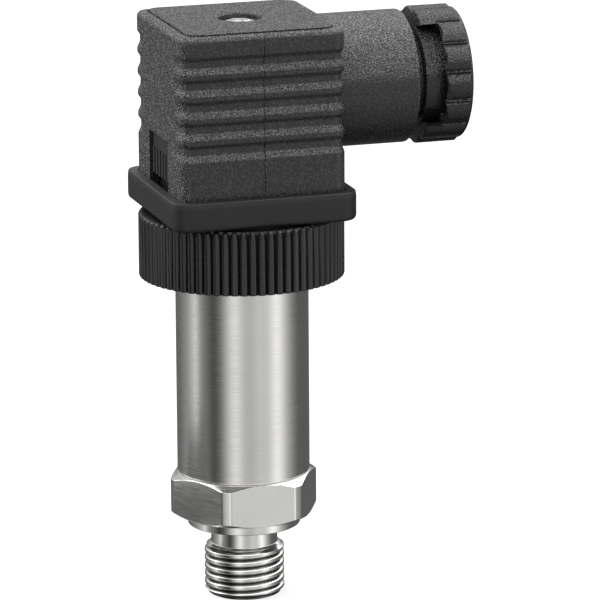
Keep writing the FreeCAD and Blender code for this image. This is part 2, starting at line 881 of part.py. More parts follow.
def wave_groove(body, name, turn, height):
    """One groove across a ribbed face and round its two corners, where it runs out of the side walls."""
    half = dims.plug_square / 2
    corner = dims.plug_corner
    middle = half - corner
    angle = dims.wave_runout_angle
    near_x = middle + corner * cosine(angle)
    near_y = -middle - corner * sine(angle)
    start_x = near_x + dims.wave_runout * sine(angle)
    start_y = near_y + dims.wave_runout * cosine(angle)
    front = -half
    path = new_sketch(body, name + "_path", start=height)
    points = [(-start_x, start_y), (-near_x, near_y), (-middle, front), (middle, front), (near_x, near_y),
              (start_x, start_y)]
    if turn:
        points = [(-across, -up) for across, up in points]
    spots = [Vector(across.value, up.value, 0) for across, up in points]
    shapes = [Part.LineSegment(spots[0], spots[1]), arc_between(spots[1], spots[2], corner.value),
              Part.LineSegment(spots[2], spots[3]), arc_between(spots[3], spots[4], corner.value),
              Part.LineSegment(spots[4], spots[5])]
    path.addGeometry(shapes, False)
    rules = []
    bound = []
    for index in range(4):
        rules.append(Sketcher.Constraint("Coincident", index, 2, index + 1, 1))
    for index in range(5):
        for kind, distance in zip(("DistanceX", "DistanceY"), points[index]):
            bound.append((len(rules), distance.text))
            rules.append(Sketcher.Constraint(kind, index, 1, distance.value))
    for kind, distance in zip(("DistanceX", "DistanceY"), points[5]):
        bound.append((len(rules), distance.text))
        rules.append(Sketcher.Constraint(kind, 4, 2, distance.value))
    for index in (1, 3):
        bound.append((len(rules), corner.text))
        rules.append(Sketcher.Constraint("Radius", index, corner.value))
    path.addConstraint(rules)
    for index, text in bound:
        path.setExpression("Constraints[%d]" % index, text)
    section = body.newObject("Sketcher::SketchObject", name + "_section")
    section.AttachmentSupport = (origin_feature(body, "XZ_Plane"), [""])
    section.MapMode = "FlatFace"
    swing = angle.value + (180 if turn else 0)
    section.AttachmentOffset = Placement(Vector(0, 0, 0), Rotation(Vector(0, 1, 0), swing))
    section.setExpression("AttachmentOffset.Base.x", points[0][0].text)
    section.setExpression("AttachmentOffset.Base.y", height.text)
    section.setExpression("AttachmentOffset.Base.z", (-points[0][1]).text)
    wave_outline(section, ZERO, ZERO)
    doc.recompute()
    pipe = body.newObject("PartDesign::SubtractivePipe", name)
    pipe.Profile = section
    pipe.Spine = (path, ["Edge%d" % (index + 1) for index in range(5)])
    return finish_feature(body, pipe)


def plug_housing():
    body = new_body("plug_housing")
    half = dims.plug_square / 2
    roof_foot = plug_top - dims.plug_roof - plug_foot - (plug_top - cover_floor)
    plan = new_sketch(body, "housing_plan")
    draw_rectangle(plan, dims.plug_square, dims.plug_square, corner=dims.plug_corner)
    pad(body, "housing_block", plan, dims.plug_height)
    rim = edges_where(body, lambda spot: near(spot.z, dims.plug_height.value))
    dress(body, "PartDesign::Fillet", "housing_edge", rim, dims.plug_edge)
    grooves = [wave_groove(body, "front_wave", False, dims.wave_first_height),
               wave_groove(body, "back_wave", True, dims.wave_first_height)]
    along(body, "waves", grooves, "Z_Axis", dims.wave_pitch * (WAVES - 1), WAVES)
    neck_root = half - dims.plug_wall
    neck = new_sketch(body, "neck_plan", "YZ_Plane", neck_root)
    draw_circle(neck, dims.neck_radius, up=dims.gland_height)
    pad(body, "neck", neck, dims.neck_reach - neck_root)
    end = edges_where(body, lambda spot: near(spot.x, dims.neck_reach.value))
    dress(body, "PartDesign::Fillet", "neck_edge", end, dims.neck_edge)
    hollow = new_sketch(body, "hollow_plan")
    inside = dims.plug_square - dims.plug_wall * 2
    draw_rectangle(hollow, inside, inside, corner=dims.block_corner)
    pocket(body, "hollow", hollow, roof_foot)
    duct = new_sketch(body, "duct_plan", start=dims.trough_floor + dims.block_lift + dims.press_gap)
    draw_circle(duct, dims.duct_radius)
    pad(body, "duct", duct, roof_foot - dims.trough_floor - dims.block_lift)
    bore = new_sketch(body, "screw_hole_plan")
    draw_circle(bore, dims.screw_hole_radius)
    pocket(body, "screw_hole", bore, dims.plug_height)
    seat = new_sketch(body, "cover_seat_plan", start=cover_floor - plug_foot)
    gap = dims.cover_gap * 2
    corner = dims.cover_corner + dims.cover_gap
    draw_rectangle(seat, dims.cover_width + gap, dims.cover_depth + gap, corner=corner)
    pocket(body, "cover_seat", seat, dims.cover_height)
    head = new_sketch(body, "head_seat_plan", start=head_floor - plug_foot)
    draw_circle(head, dims.cover_hole_radius)
    pocket(body, "head_seat", head, dims.cover_height + dims.plug_roof)
    gland = new_sketch(body, "gland_bore_plan", "YZ_Plane", dims.gland_seat)
    draw_circle(gland, dims.gland_thread_radius, up=dims.gland_height)
    pocket(body, "gland_bore", gland, dims.neck_reach - dims.gland_seat)
    passage = new_sketch(body, "gland_passage_plan", "YZ_Plane", neck_root - dims.plug_wall)
    draw_circle(passage, dims.gland_passage_radius, up=dims.gland_height)
    pocket(body, "gland_passage", passage, dims.gland_seat - neck_root + dims.plug_wall * 2)
    window = new_sketch(body, "window_plan", "YZ_Plane", -half - dims.plug_wall)
    draw_rectangle(window, dims.window_width, dims.window_height, up=dims.window_height / 2)
    pocket(body, "window", window, dims.plug_wall * 2.5)
    place(body, plug_foot)
    return body


head_top = plug_top + dims.cover_stand - dims.screw_head_sink
head_foot = head_top - dims.screw_head_height
head_floor = head_foot - dims.screw_seal_height


def top_cover():
    body = new_body("top_cover")
    plan = new_sketch(body, "cover_plan")
    draw_rectangle(plan, dims.cover_width, dims.cover_depth, corner=dims.cover_corner)
    pad(body, "cover_plate", plan, dims.cover_height)
    rim = edges_where(body, lambda spot: near(spot.z, dims.cover_height.value))
    dress(body, "PartDesign::Chamfer", "cover_edge", rim, dims.cover_edge)
    hole = new_sketch(body, "cover_hole_plan")
    draw_circle(hole, dims.cover_hole_radius)
    pocket(body, "cover_hole", hole, dims.cover_height)
    reach = dims.cover_hole_radius.value * PAST
    mouth = edges_where(body, lambda spot: near(spot.z, dims.cover_height.value) and abs(spot.x) < reach
                        and abs(spot.y) < reach)
    dress(body, "PartDesign::Chamfer", "cover_hole_edge", mouth, dims.cover_hole_edge)
    place(body, cover_floor)
    return body


# Terminal block: the insert that carries the four contacts and shows its ribbed tab in the window

def terminal_block():
    body = new_body("terminal_block")
    width = dims.plug_square - (dims.plug_wall + dims.block_gap) * 2
    plan = new_sketch(body, "block_plan")
    draw_rectangle(plan, width, width, corner=dims.block_corner)
    pad(body, "block_body", plan, dims.block_height)
    trough = new_sketch(body, "trough_plan", start=dims.trough_floor)
    draw_rectangle(trough, dims.trough_half * 2, dims.trough_half * 2)
    pocket(body, "trough", trough, dims.block_height - dims.trough_floor)
    for name, angle in PIN_ANGLES.items():
        cell = new_sketch(body, "contact_cell_%s_plan" % name, start=dims.block_floor)
        gap = dims.contact_gap * 2
        pin_rectangle(cell, angle, dims.contact_depth + gap, dims.contact_width + gap)
        pocket(body, "contact_cell_" + name, cell, dims.block_height)
        slot = new_sketch(body, "blade_slot_%s_plan" % name)
        blade_gap = dims.pin_gap * 2
        pin_rectangle(slot, angle, dims.pin_thickness + blade_gap, dims.pin_width + blade_gap)
        pocket(body, "blade_slot_" + name, slot, dims.block_floor)
    boss = new_sketch(body, "boss_recess_plan")
    draw_circle(boss, dims.boss_radius + dims.pin_gap * 2)
    pocket(body, "boss_recess", boss, base_top + dims.boss_height - block_foot + dims.pin_gap * 2)
    bore = new_sketch(body, "block_screw_hole_plan")
    draw_circle(bore, dims.screw_hole_radius)
    pocket(body, "block_screw_hole", bore, dims.block_height)
    face = -dims.plug_square / 2 + dims.tab_recess
    tab = new_sketch(body, "tab_plan", "YZ_Plane", face)
    draw_rectangle(tab, dims.tab_width, dims.tab_height, up=dims.tab_foot + dims.tab_height / 2)
    pad(body, "tab", tab, -width / 2 - face + dims.block_gap)
    rib = new_sketch(body, "rib_plan", "YZ_Plane", face - dims.rib_depth)
    first_rib = -dims.rib_pitch * ((RIBS - 1) / 2)
    draw_rectangle(rib, dims.rib_width, dims.rib_height, first_rib, dims.tab_foot + dims.rib_height / 2)
    first = pad(body, "rib", rib, dims.rib_depth + dims.rib_depth)
    along(body, "ribs", [first], "Y_Axis", dims.rib_pitch * (RIBS - 1), RIBS)
    place(body, block_foot)
    return body


def terminal_contact(name, angle):
    """A brass block that grips one blade from below and clamps one wire from the middle."""
    label = "earth_terminal" if name == "earth" else "terminal_" + name
    body = new_body(label)
    plan = new_sketch(body, label + "_plan")
    pin_rectangle(plan, angle, dims.contact_depth, dims.contact_width)
    pad(body, label + "_block", plan, dims.contact_height)
    slot = new_sketch(body, label + "_slot_plan")
    gap = dims.pin_gap * 2
    pin_rectangle(slot, angle, dims.pin_thickness + gap, dims.pin_width + gap)
    pocket(body, label + "_slot", slot, dims.contact_slot_height)
    side = 1 if angle in (0, 90) else -1
    across = dims.pin_offset * (side if angle in (0, 180) else 0)
    up = dims.pin_offset * (side if angle in (90, 270) else 0)
    screw = new_sketch(body, label + "_screw_plan", start=dims.wire_hole_height)
    draw_circle(screw, dims.terminal_screw_radius + dims.screw_gap, across, up)
    pocket(body, label + "_screw_hole", screw, dims.contact_height - dims.wire_hole_height)
    plane = "YZ_Plane" if angle in (0, 180) else "XZ_Plane"
    wire = new_sketch(body, label + "_wire_plan", plane, -dims.pin_offset * 2)
    draw_circle(wire, dims.wire_hole_radius, up=dims.wire_hole_height)
    pocket(body, label + "_wire_hole", wire, dims.pin_offset * 4)
    place(body, block_foot + dims.block_floor)
    return body


def terminal_screws():
    """Four slotted screws, one on top of each terminal, kept as one group of like fasteners."""
    screws = []
    for name, angle in PIN_ANGLES.items():
        body = turned("terminal_screw_" + name, [
            (ZERO, ZERO),
            (dims.terminal_screw_radius, ZERO),
            (dims.terminal_screw_radius, dims.terminal_screw_length),
            (dims.terminal_head_radius, dims.terminal_screw_length),
            (dims.terminal_head_radius, dims.terminal_screw_length + dims.terminal_head_height),
            (ZERO, dims.terminal_screw_length + dims.terminal_head_height),
        ])
        head = dims.terminal_screw_length + dims.terminal_head_height
        slot = new_sketch(body, "screw_slot_%s_plan" % name, start=head - dims.terminal_slot_depth)
        draw_rectangle(slot, dims.terminal_head_radius * 2 * PAST, dims.terminal_slot_width)
        pocket(body, "screw_slot_" + name, slot, dims.terminal_slot_depth)
        side = 1 if angle in (0, 90) else -1
        across = dims.pin_offset * (side if angle in (0, 180) else 0)
        up = dims.pin_offset * (side if angle in (90, 270) else 0)
        place(body, ZERO, across, up)
        screws.append(body)
    top = block_foot + dims.block_floor + dims.contact_height
    return grouped("terminal_screws", screws, top - dims.terminal_screw_length + dims.press_gap)


# Fixing screw with its seal, from the cover's hole down into the base's insert

def fixing_screw():
    shank_foot = base_top + dims.boss_height - dims.insert_height + dims.screw_seal_height
    length = head_foot - shank_foot
    body = turned("fixing_screw", [
        (ZERO, ZERO),
        (dims.screw_radius, ZERO),
        (dims.screw_radius, length),
        (dims.screw_head_radius, length),
        (dims.screw_head_radius, length + dims.screw_head_height),
        (ZERO, length + dims.screw_head_height),
    ], shank_foot)
    top = length + dims.screw_head_height
    start = top - dims.screw_cross_depth
    for name, width, depth in (("cross_one", dims.screw_cross_length, dims.screw_cross_width),
                               ("cross_two", dims.screw_cross_width, dims.screw_cross_length)):
        sketch = new_sketch(body, name + "_plan", start=start)
        draw_rectangle(sketch, width, depth)
        pocket(body, name, sketch, dims.screw_cross_depth)
    return body


def screw_seal():
    inner = dims.screw_radius + dims.screw_seal_gap
    outer = dims.cover_hole_radius - dims.screw_seal_gap
    height = dims.screw_seal_height - dims.press_gap
    return turned("screw_seal", [
        (inner, ZERO),
        (outer, ZERO),
        (outer, height),
        (inner, height),
    ], head_floor)


# Cable gland: grommet, pressure washer and lobed nut, all about the neck's axis

ALONG_X = Rotation(Vector(0, 1, 0), 90)
nut_seat = dims.neck_reach + dims.nut_gap
nut_tail = nut_seat - dims.nut_spigot
washer_seat = nut_tail - dims.washer_gap - dims.washer_height
grommet_length = washer_seat - dims.nut_gap - dims.gland_seat


def cable_grommet():
    radius = dims.gland_thread_radius - dims.grommet_gap
    bore = dims.grommet_bore_radius
    body = turned("cable_grommet", [
        (bore, ZERO),
        (radius, ZERO),
        (radius, grommet_length),
        (bore, grommet_length),
    ])
    place(body, gland_axis, dims.gland_seat, rotation=ALONG_X)
    return body


def gland_washer():
    radius = dims.gland_thread_radius - dims.thread_gap
    bore = dims.washer_bore_radius
    height = dims.washer_height
    body = turned("gland_washer", [(bore, ZERO), (radius, ZERO), (radius, height), (bore, height)])
    place(body, gland_axis, washer_seat, rotation=ALONG_X)
    return body


def polar(radius, angle):
    return radius * cosine(angle), radius * sine(angle)


def nut_lugs(body, start, length):
    """Two solid lugs between hub and flange, on opposite sides."""
    for name, middle in (("lower_lug", ZERO), ("upper_lug", as_size(180))):
        first = polar(dims.nut_lug_radius, middle - dims.nut_lug_spread)
        last = polar(dims.nut_lug_radius, middle + dims.nut_lug_spread)
        sketch = new_sketch(body, name + "_plan", start=start)
        draw_outline(sketch, [first + (dims.nut_lug_radius,), last])
        pad(body, name, sketch, length)


def nut_pockets(body, start):
    """Two deep pockets in the flange's back face, round the hub between the lugs."""
    inner, outer = dims.nut_hub_radius, dims.nut_pocket_radius
    spread = as_size(90) - dims.nut_lug_spread
    for name, middle in (("front_pocket", as_size(90)), ("back_pocket", as_size(270))):
        sketch = new_sketch(body, name + "_plan", start=start)
        draw_outline(sketch, [
            polar(outer, middle - spread) + (outer,),
            polar(outer, middle + spread),
            polar(inner, middle + spread) + (-inner,),
            polar(inner, middle - spread),
        ])
        pocket(body, name, sketch, dims.nut_pocket_depth)


def gland_nut():
    """A hollow nut: threaded spigot, hub with lugs, and a pocketed grip flange with rounded lobes."""
    spigot, hub = dims.nut_spigot, dims.nut_hub_height
    length = spigot + hub + dims.nut_height
    thread = dims.gland_thread_radius - dims.thread_gap
    body = new_body("gland_nut")
    revolve(body, "nut_turned", [
        (dims.nut_bore_radius, ZERO),
        (thread, ZERO),
        (thread, spigot),
        (dims.nut_hub_radius, spigot),
        (dims.nut_hub_radius, spigot + hub),
        (dims.nut_radius, spigot + hub),
        (dims.nut_radius, length - dims.nut_edge),
        (dims.nut_radius - dims.nut_edge, length),
        (dims.nut_mouth_radius, length),
        (dims.nut_bore_radius, dims.nut_bore_length),
    ])
    reach = dims.nut_radius - dims.lobe_depth
    outside = dims.nut_radius * PAST
    step = 180 / LOBES
    first, last = as_size(-step), as_size(step)
    sketch = new_sketch(body, "lobe_plan", start=spigot + hub)
    draw_outline(sketch, [
        (outside * cosine(first), outside * sine(first)),
        (outside * cosine(last), outside * sine(last)),
        (reach * cosine(last), reach * sine(last), -dims.lobe_radius),
        (reach * cosine(first), reach * sine(first)),
    ])
    lobe = pocket(body, "lobe", sketch, dims.nut_height)
    around(body, "lobes", lobe, LOBES)
    nut_lugs(body, spigot, hub)
    nut_pockets(body, spigot + hub)
    clocking = Rotation(Vector(0, 0, 1), -dims.nut_clocking.value)
    place(body, gland_axis, nut_tail, rotation=ALONG_X * clocking)
    return body


parts = [process_connection()] + cell_parts() + [housing_tube(), board_carrier()]
parts.append(block("circuit_board", dims.board_width, dims.board_thickness, board_height, board_foot))
parts += [board_chips(), cell_pins(), board_header(), base_seal(), knurled_ring(), socket_base()]
parts += [contact_pin(name, angle) for name, angle in PIN_ANGLES.items()]
parts += [threaded_insert(), contact_board(), board_socket(), flange_gasket(), plug_housing(), top_cover()]
parts.append(terminal_block())
parts += [terminal_contact(name, angle) for name, angle in PIN_ANGLES.items()]
parts += [terminal_screws(), screw_seal(), fixing_screw(), cable_grommet(), gland_washer(), gland_nut()]

doc.recompute()
for item in doc.Objects:
    if "Invalid" in item.State or "Error" in item.State:
        raise RuntimeError(item.Label + " did not build: " + str(item.State))
os.makedirs("parts", exist_ok=True)
for item in parts:
    shape = item.Shape
    if shape.isNull() or not shape.isValid():
        raise RuntimeError(item.Label + " has no valid shape")
    shape.exportStep("parts/%s.step" % item.Label)
print(len(parts), "parts written")
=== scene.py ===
import json
import math

import bmesh
import bpy
from mathutils import Matrix, Vector

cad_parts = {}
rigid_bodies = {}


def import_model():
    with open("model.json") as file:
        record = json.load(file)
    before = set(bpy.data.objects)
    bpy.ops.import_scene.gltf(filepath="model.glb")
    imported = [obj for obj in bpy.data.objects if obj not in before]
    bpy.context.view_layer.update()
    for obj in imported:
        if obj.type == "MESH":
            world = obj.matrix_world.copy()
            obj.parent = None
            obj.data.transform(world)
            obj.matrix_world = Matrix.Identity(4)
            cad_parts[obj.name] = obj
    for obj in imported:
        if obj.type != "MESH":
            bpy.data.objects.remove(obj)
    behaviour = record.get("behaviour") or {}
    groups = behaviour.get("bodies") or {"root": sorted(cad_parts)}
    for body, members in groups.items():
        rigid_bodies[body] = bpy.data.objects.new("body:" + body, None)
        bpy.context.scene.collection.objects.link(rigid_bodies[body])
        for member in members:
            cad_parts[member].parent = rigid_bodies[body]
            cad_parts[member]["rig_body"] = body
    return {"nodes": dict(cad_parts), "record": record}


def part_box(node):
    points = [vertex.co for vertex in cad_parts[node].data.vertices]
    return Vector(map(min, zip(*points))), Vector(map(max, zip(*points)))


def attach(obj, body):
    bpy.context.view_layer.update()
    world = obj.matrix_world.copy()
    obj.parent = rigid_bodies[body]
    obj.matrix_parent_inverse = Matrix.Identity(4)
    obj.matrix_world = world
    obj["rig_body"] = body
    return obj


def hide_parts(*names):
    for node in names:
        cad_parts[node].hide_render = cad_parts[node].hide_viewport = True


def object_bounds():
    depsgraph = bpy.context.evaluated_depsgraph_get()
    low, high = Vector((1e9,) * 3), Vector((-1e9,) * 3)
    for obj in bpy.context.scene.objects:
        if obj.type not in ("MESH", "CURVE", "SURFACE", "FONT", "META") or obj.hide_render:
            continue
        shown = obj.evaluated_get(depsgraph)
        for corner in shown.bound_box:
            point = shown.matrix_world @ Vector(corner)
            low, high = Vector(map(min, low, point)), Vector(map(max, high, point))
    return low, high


# Looks of the pressure transmitter. Shapes are worked out in millimetres in the CAD frame, where +Z
# runs up the sensor's axis, the gland points along +X and the ribbed face of the plug looks along -Y.

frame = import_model()
cad_low, cad_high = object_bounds()
MM = 0.001
TURN = 2 * math.pi


def extent(node):
    """Lowest and highest corner of a CAD node, in millimetres."""
    low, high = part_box(node)
    return low / MM, high / MM


# Camera, from a fit to the tube's, the ring's and the collar's ellipses in the photograph

VIEW_AZIMUTH = math.radians(-17.254)
VIEW_ELEVATION = math.radians(13.907)
VIEW_ROLL = math.radians(-0.375)
VIEW_DISTANCE = 868.437
VIEW_ACROSS = 8.996
VIEW_UP = 66.791
VIEW_HEIGHT_SHIFT = -31.486
FOCAL_PIXELS = 5233.56
PHOTO_PIXELS = 600
SENSOR_WIDTH = 36.0


def make_camera():
    sine, cosine = math.sin(VIEW_AZIMUTH), math.cos(VIEW_AZIMUTH)
    level, rise = math.cos(VIEW_ELEVATION), math.sin(VIEW_ELEVATION)
    back = Vector((sine * level, -cosine * level, rise))
    right = Vector((cosine, sine, 0.0))
    up = back.cross(right)
    tilted_right = right * math.cos(VIEW_ROLL) + up * math.sin(VIEW_ROLL)
    tilted_up = up * math.cos(VIEW_ROLL) - right * math.sin(VIEW_ROLL)
    place = back * VIEW_DISTANCE + tilted_right * VIEW_ACROSS + tilted_up * VIEW_UP
    place.z += VIEW_HEIGHT_SHIFT
    data = bpy.data.cameras.new("camera")
    data.sensor_width = SENSOR_WIDTH
    data.lens = SENSOR_WIDTH * FOCAL_PIXELS / PHOTO_PIXELS
    data.clip_start = 0.05
    data.clip_end = 20.0
    camera = bpy.data.objects.new("camera", data)
    bpy.context.scene.collection.objects.link(camera)
    axes = Matrix((tilted_right, tilted_up, back)).transposed().to_4x4()
    camera.matrix_world = Matrix.Translation(place * MM) @ axes
    bpy.context.scene.camera = camera


# Light: a room of soft panels, painted on the world by direction

# Brightness near the floor: degrees to the right of the photograph's camera, and the level there
PANELS = [(-180, 0.12), (-143, 0.14), (-125, 0.25), (-111, 0.36), (-100, 0.58), (-90, 0.98), (-80, 0.36),
          (-71, 0.22), (-62, 0.15), (-55, 0.04), (-47, 0.06), (-39, 0.17), (-32, 0.39), (-25, 0.67),
          (-17, 1.02), (-10, 1.08), (-3, 0.78), (5, 0.58), (17, 0.58), (30, 0.76), (40, 0.7), (47, 0.72),
          (55, 1.02), (63, 1.34), (71, 1.1), (80, 0.7), (89, 0.44), (100, 0.24), (112, 0.12), (180, 0.12)]
# Brightness of the walls above eye height, by the same bearing
WALLS = [(-180, 0.3), (-158, 0.4), (-142, 1.3), (-120, 1.3), (-60, 0.4), (0, 0.7), (60, 0.8), (120, 1.1),
         (180, 0.35)]
# Share of the light straight overhead, which comes from behind, and of the soft light, by the same bearing
BEHIND = [(-180, 1.0), (-100, 1.0), (-75, 0.0), (75, 0.0), (100, 1.0), (180, 1.0)]
SOFT_SIDE = [(-180, 1.2), (-140, 2.0), (-95, 2.4), (-50, 1.2), (0, 0.75), (90, 0.8), (180, 1.2)]
# Share of the lights above, by the same bearing
ABOVE_SIDE = [(-180, 0.6), (-165, 0.15), (-138, 0.15), (-118, 1.6), (-95, 1.6), (-80, 0.25), (-48, 0.25),
              (-28, 1.1), (120, 1.1), (160, 0.9), (180, 0.6)]
# Height of the direction, and the share or level there
PANEL_FADE = [(-1.0, 0.28), (-0.75, 0.48), (-0.45, 1.0), (-0.05, 1.0), (0.22, 0.0), (1.0, 0.0)]
WALL_FADE = [(-1.0, 0.0), (-0.05, 0.0), (0.22, 1.0), (0.34, 1.0), (0.46, 0.35), (0.6, 0.35), (0.8, 0.0),
             (1.0, 0.0)]
OVERHEAD = [(-1.0, 0.0), (0.3, 0.0), (0.5, 2.4), (0.77, 2.4), (0.87, 0.1), (1.0, 0.05)]
ZENITH = [(-1.0, 0.0), (0.77, 0.0), (0.87, 2.3), (1.0, 2.3)]
SOFT_LIGHT = [(-1.0, 0.0), (-0.3, 0.05), (0.0, 0.2), (0.3, 1.0), (0.7, 2.4), (1.0, 2.4)]


def grey(level):
    return (level, level, level, 1.0)


def add_ramp(nodes, links, source, stops, low, high):
    """A colour ramp through (place, level) stops given on the scale from low to high."""
    ramp = nodes.new("ShaderNodeValToRGB")
    links.new(source, ramp.inputs[0])
    ramp.color_ramp.interpolation = "LINEAR"
    while len(ramp.color_ramp.elements) < len(stops):
        ramp.color_ramp.elements.new(0.5)
    for element, (spot, level) in zip(ramp.color_ramp.elements, stops):
        element.position = (spot - low) / (high - low)
        element.color = grey(level)
    return ramp.outputs["Color"]


def feed(links, item, socket):
    """Link a socket to another one, or give it a value."""
    if isinstance(item, bpy.types.NodeSocket):
        links.new(item, socket)
    else:
        socket.default_value = item


def new_shader(nodes, links, kind, **inputs):
    """The output of a shader node, with a value or a socket for each input that is named."""
    node = nodes.new("ShaderNode" + kind)
    for name, item in inputs.items():
        feed(links, item, node.inputs[name])
    return node.outputs[0]


def background(nodes, links, level):
    """White light of a level that is a number or a socket."""
    return new_shader(nodes, links, "Background", Color=grey(1.0), Strength=level)


def mix_shaders(nodes, links, share, first, second):
    node = nodes.new("ShaderNodeMixShader")
    for item, socket in zip((share, first, second), node.inputs):
        feed(links, item, socket)
    return node.outputs[0]


def math_node(nodes, links, operation, *items):
    node = nodes.new("ShaderNodeMath")
    node.operation = operation
    for item, socket in zip(items, node.inputs):
        feed(links, item, socket)
    return node.outputs[0]


def make_world():
    world = bpy.data.worlds.new("studio")
    bpy.context.scene.world = world
    world.use_nodes = True
    nodes, links = world.node_tree.nodes, world.node_tree.links
    nodes.clear()
    direction = nodes.new("ShaderNodeTexCoord")
    split = nodes.new("ShaderNodeSeparateXYZ")
    links.new(direction.outputs["Generated"], split.inputs[0])
    forward = math_node(nodes, links, "MULTIPLY", split.outputs["Y"], -1.0)
    bearing = math_node(nodes, links, "ARCTAN2", split.outputs["X"], forward)
    beside = math_node(nodes, links, "SUBTRACT", bearing, VIEW_AZIMUTH)
    wrapped = math_node(nodes, links, "WRAP", beside, math.pi, -math.pi)
    share = math_node(nodes, links, "MULTIPLY_ADD", wrapped, 1 / TURN, 0.5)
    height = math_node(nodes, links, "MULTIPLY_ADD", split.outputs["Z"], 0.5, 0.5)

    def by_bearing(stops):
        return add_ramp(nodes, links, share, stops, -180, 180)

    def by_height(stops):
        return add_ramp(nodes, links, height, stops, -1.0, 1.0)

    panels = math_node(nodes, links, "MULTIPLY", by_bearing(PANELS), by_height(PANEL_FADE))
    walls = math_node(nodes, links, "MULTIPLY", by_bearing(WALLS), by_height(WALL_FADE))
    sides = math_node(nodes, links, "ADD", panels, walls)
    behind = math_node(nodes, links, "MULTIPLY", by_bearing(BEHIND), by_height(ZENITH))
    high = math_node(nodes, links, "ADD", by_height(OVERHEAD), behind)
    above = math_node(nodes, links, "MULTIPLY", high, by_bearing(ABOVE_SIDE))
    mirrored = background(nodes, links, math_node(nodes, links, "ADD", sides, above))
    soft_level = math_node(nodes, links, "MULTIPLY", by_height(SOFT_LIGHT), by_bearing(SOFT_SIDE))
    soft = background(nodes, links, soft_level)
    path = nodes.new("ShaderNodeLightPath")
    by_gloss = mix_shaders(nodes, links, path.outputs["Is Glossy Ray"], soft, mirrored)
    seen = mix_shaders(nodes, links, path.outputs["Is Camera Ray"], by_gloss, background(nodes, links, 1.0))
    output = nodes.new("ShaderNodeOutputWorld")
    links.new(seen, output.inputs["Surface"])


FLOOR_SIZE = 3.0
FLOOR_DROP = 0.02
FLOOR_PALE = 0.85
FLOOR_DIM = 0.2
FLOOR_GLOW = 0.8


def flat_sheet(name, corners):
    """A sheet through four corners with an empty material, and the nodes and links of that."""
    mesh = bpy.data.meshes.new(name)
    mesh.from_pydata(corners, [], [(0, 1, 2, 3)])
    sheet = bpy.data.objects.new(name, mesh)
    bpy.context.scene.collection.objects.link(sheet)
    material = bpy.data.materials.new(name)
    material.use_nodes = True
    material.node_tree.nodes.clear()
    mesh.materials.append(material)
    return sheet, material.node_tree.nodes, material.node_tree.links


def make_floor():
    """A pale floor under the stud's tip. The camera sees it pale, with the object's shadow."""
    level = cad_low.z - FLOOR_DROP * MM
    half = FLOOR_SIZE / 2
    corners = [(-half, -half, level), (half, -half, level), (half, half, level), (-half, half, level)]
    floor, nodes, links = flat_sheet("floor", corners)
    pale = new_shader(nodes, links, "BsdfDiffuse", Color=grey(FLOOR_PALE))
    glow = new_shader(nodes, links, "Emission", Strength=1.0)
    seen = mix_shaders(nodes, links, FLOOR_GLOW, pale, glow)
    dim = new_shader(nodes, links, "BsdfDiffuse", Color=grey(FLOOR_DIM))
    clear = new_shader(nodes, links, "BsdfTransparent")
    path = nodes.new("ShaderNodeLightPath")
    by_gloss = mix_shaders(nodes, links, path.outputs["Is Glossy Ray"], dim, clear)
    by_camera = mix_shaders(nodes, links, path.outputs["Is Camera Ray"], by_gloss, seen)
    output = nodes.new("ShaderNodeOutputMaterial")
    links.new(by_camera, output.inputs["Surface"])


# Painted shade: a dimly glowing card whose reflection in the steel stands in for the object's shade on the
# floor
CARD_SHADE_LEVEL = 0.125
CARD_NEAR, CARD_FAR, CARD_HALF_WIDTH = 47.0, 85.0, 26.0
CARD_BEARING = VIEW_AZIMUTH - math.radians(88.0)
CARD_LIFT = 0.1


def make_shade_card():
    """A grey card flat on the floor at the left, which only mirrored rays see. It glows dimly and paints a
    dark reflection into the steel, standing in for the object's shade on the floor.
    """
    along = Vector((math.sin(CARD_BEARING), -math.cos(CARD_BEARING), 0.0))
    across = Vector((-along.y, along.x, 0.0)) * CARD_HALF_WIDTH
    lift = Vector((0.0, 0.0, cad_low.z / MM + CARD_LIFT))
    spots = [along * CARD_NEAR - across, along * CARD_FAR - across, along * CARD_FAR + across,
             along * CARD_NEAR + across]
    shade_card, nodes, links = flat_sheet("shade_card", [(spot + lift) * MM for spot in spots])
    glow = new_shader(nodes, links, "Emission", Strength=CARD_SHADE_LEVEL)
    clear = new_shader(nodes, links, "BsdfTransparent")
    path = nodes.new("ShaderNodeLightPath")
    mixed = mix_shaders(nodes, links, path.outputs["Is Glossy Ray"], clear, glow)
    output = nodes.new("ShaderNodeOutputMaterial")
    links.new(mixed, output.inputs["Surface"])


# Materials

# Grain and painted glints by facing: how fast they grow as a face turns upwards, and the share left on the
# grip faces
GLINT_AND_GRAIN_UPWARDS = 2.6
GLINT_AND_GRAIN_LEAST = 0.25
# Speckle in moulded plastic, which varies its roughness and carries painted glints in its colour: its size
# against the grain, and the noise levels where the glints start and are full
SPECKLE_SIZE = 0.8
GLINT_EDGES = (0.48, 0.7)
# Painted shade in the thread roots: its level, and where it fades by distance from the axis and by height, in
# millimetres
ROOT_SHADE_LEVEL = 0.1
ROOT_SHADE_RADII = (5.95, 6.35)
ROOT_SHADE_HEIGHTS = (-3.9, -3.5)


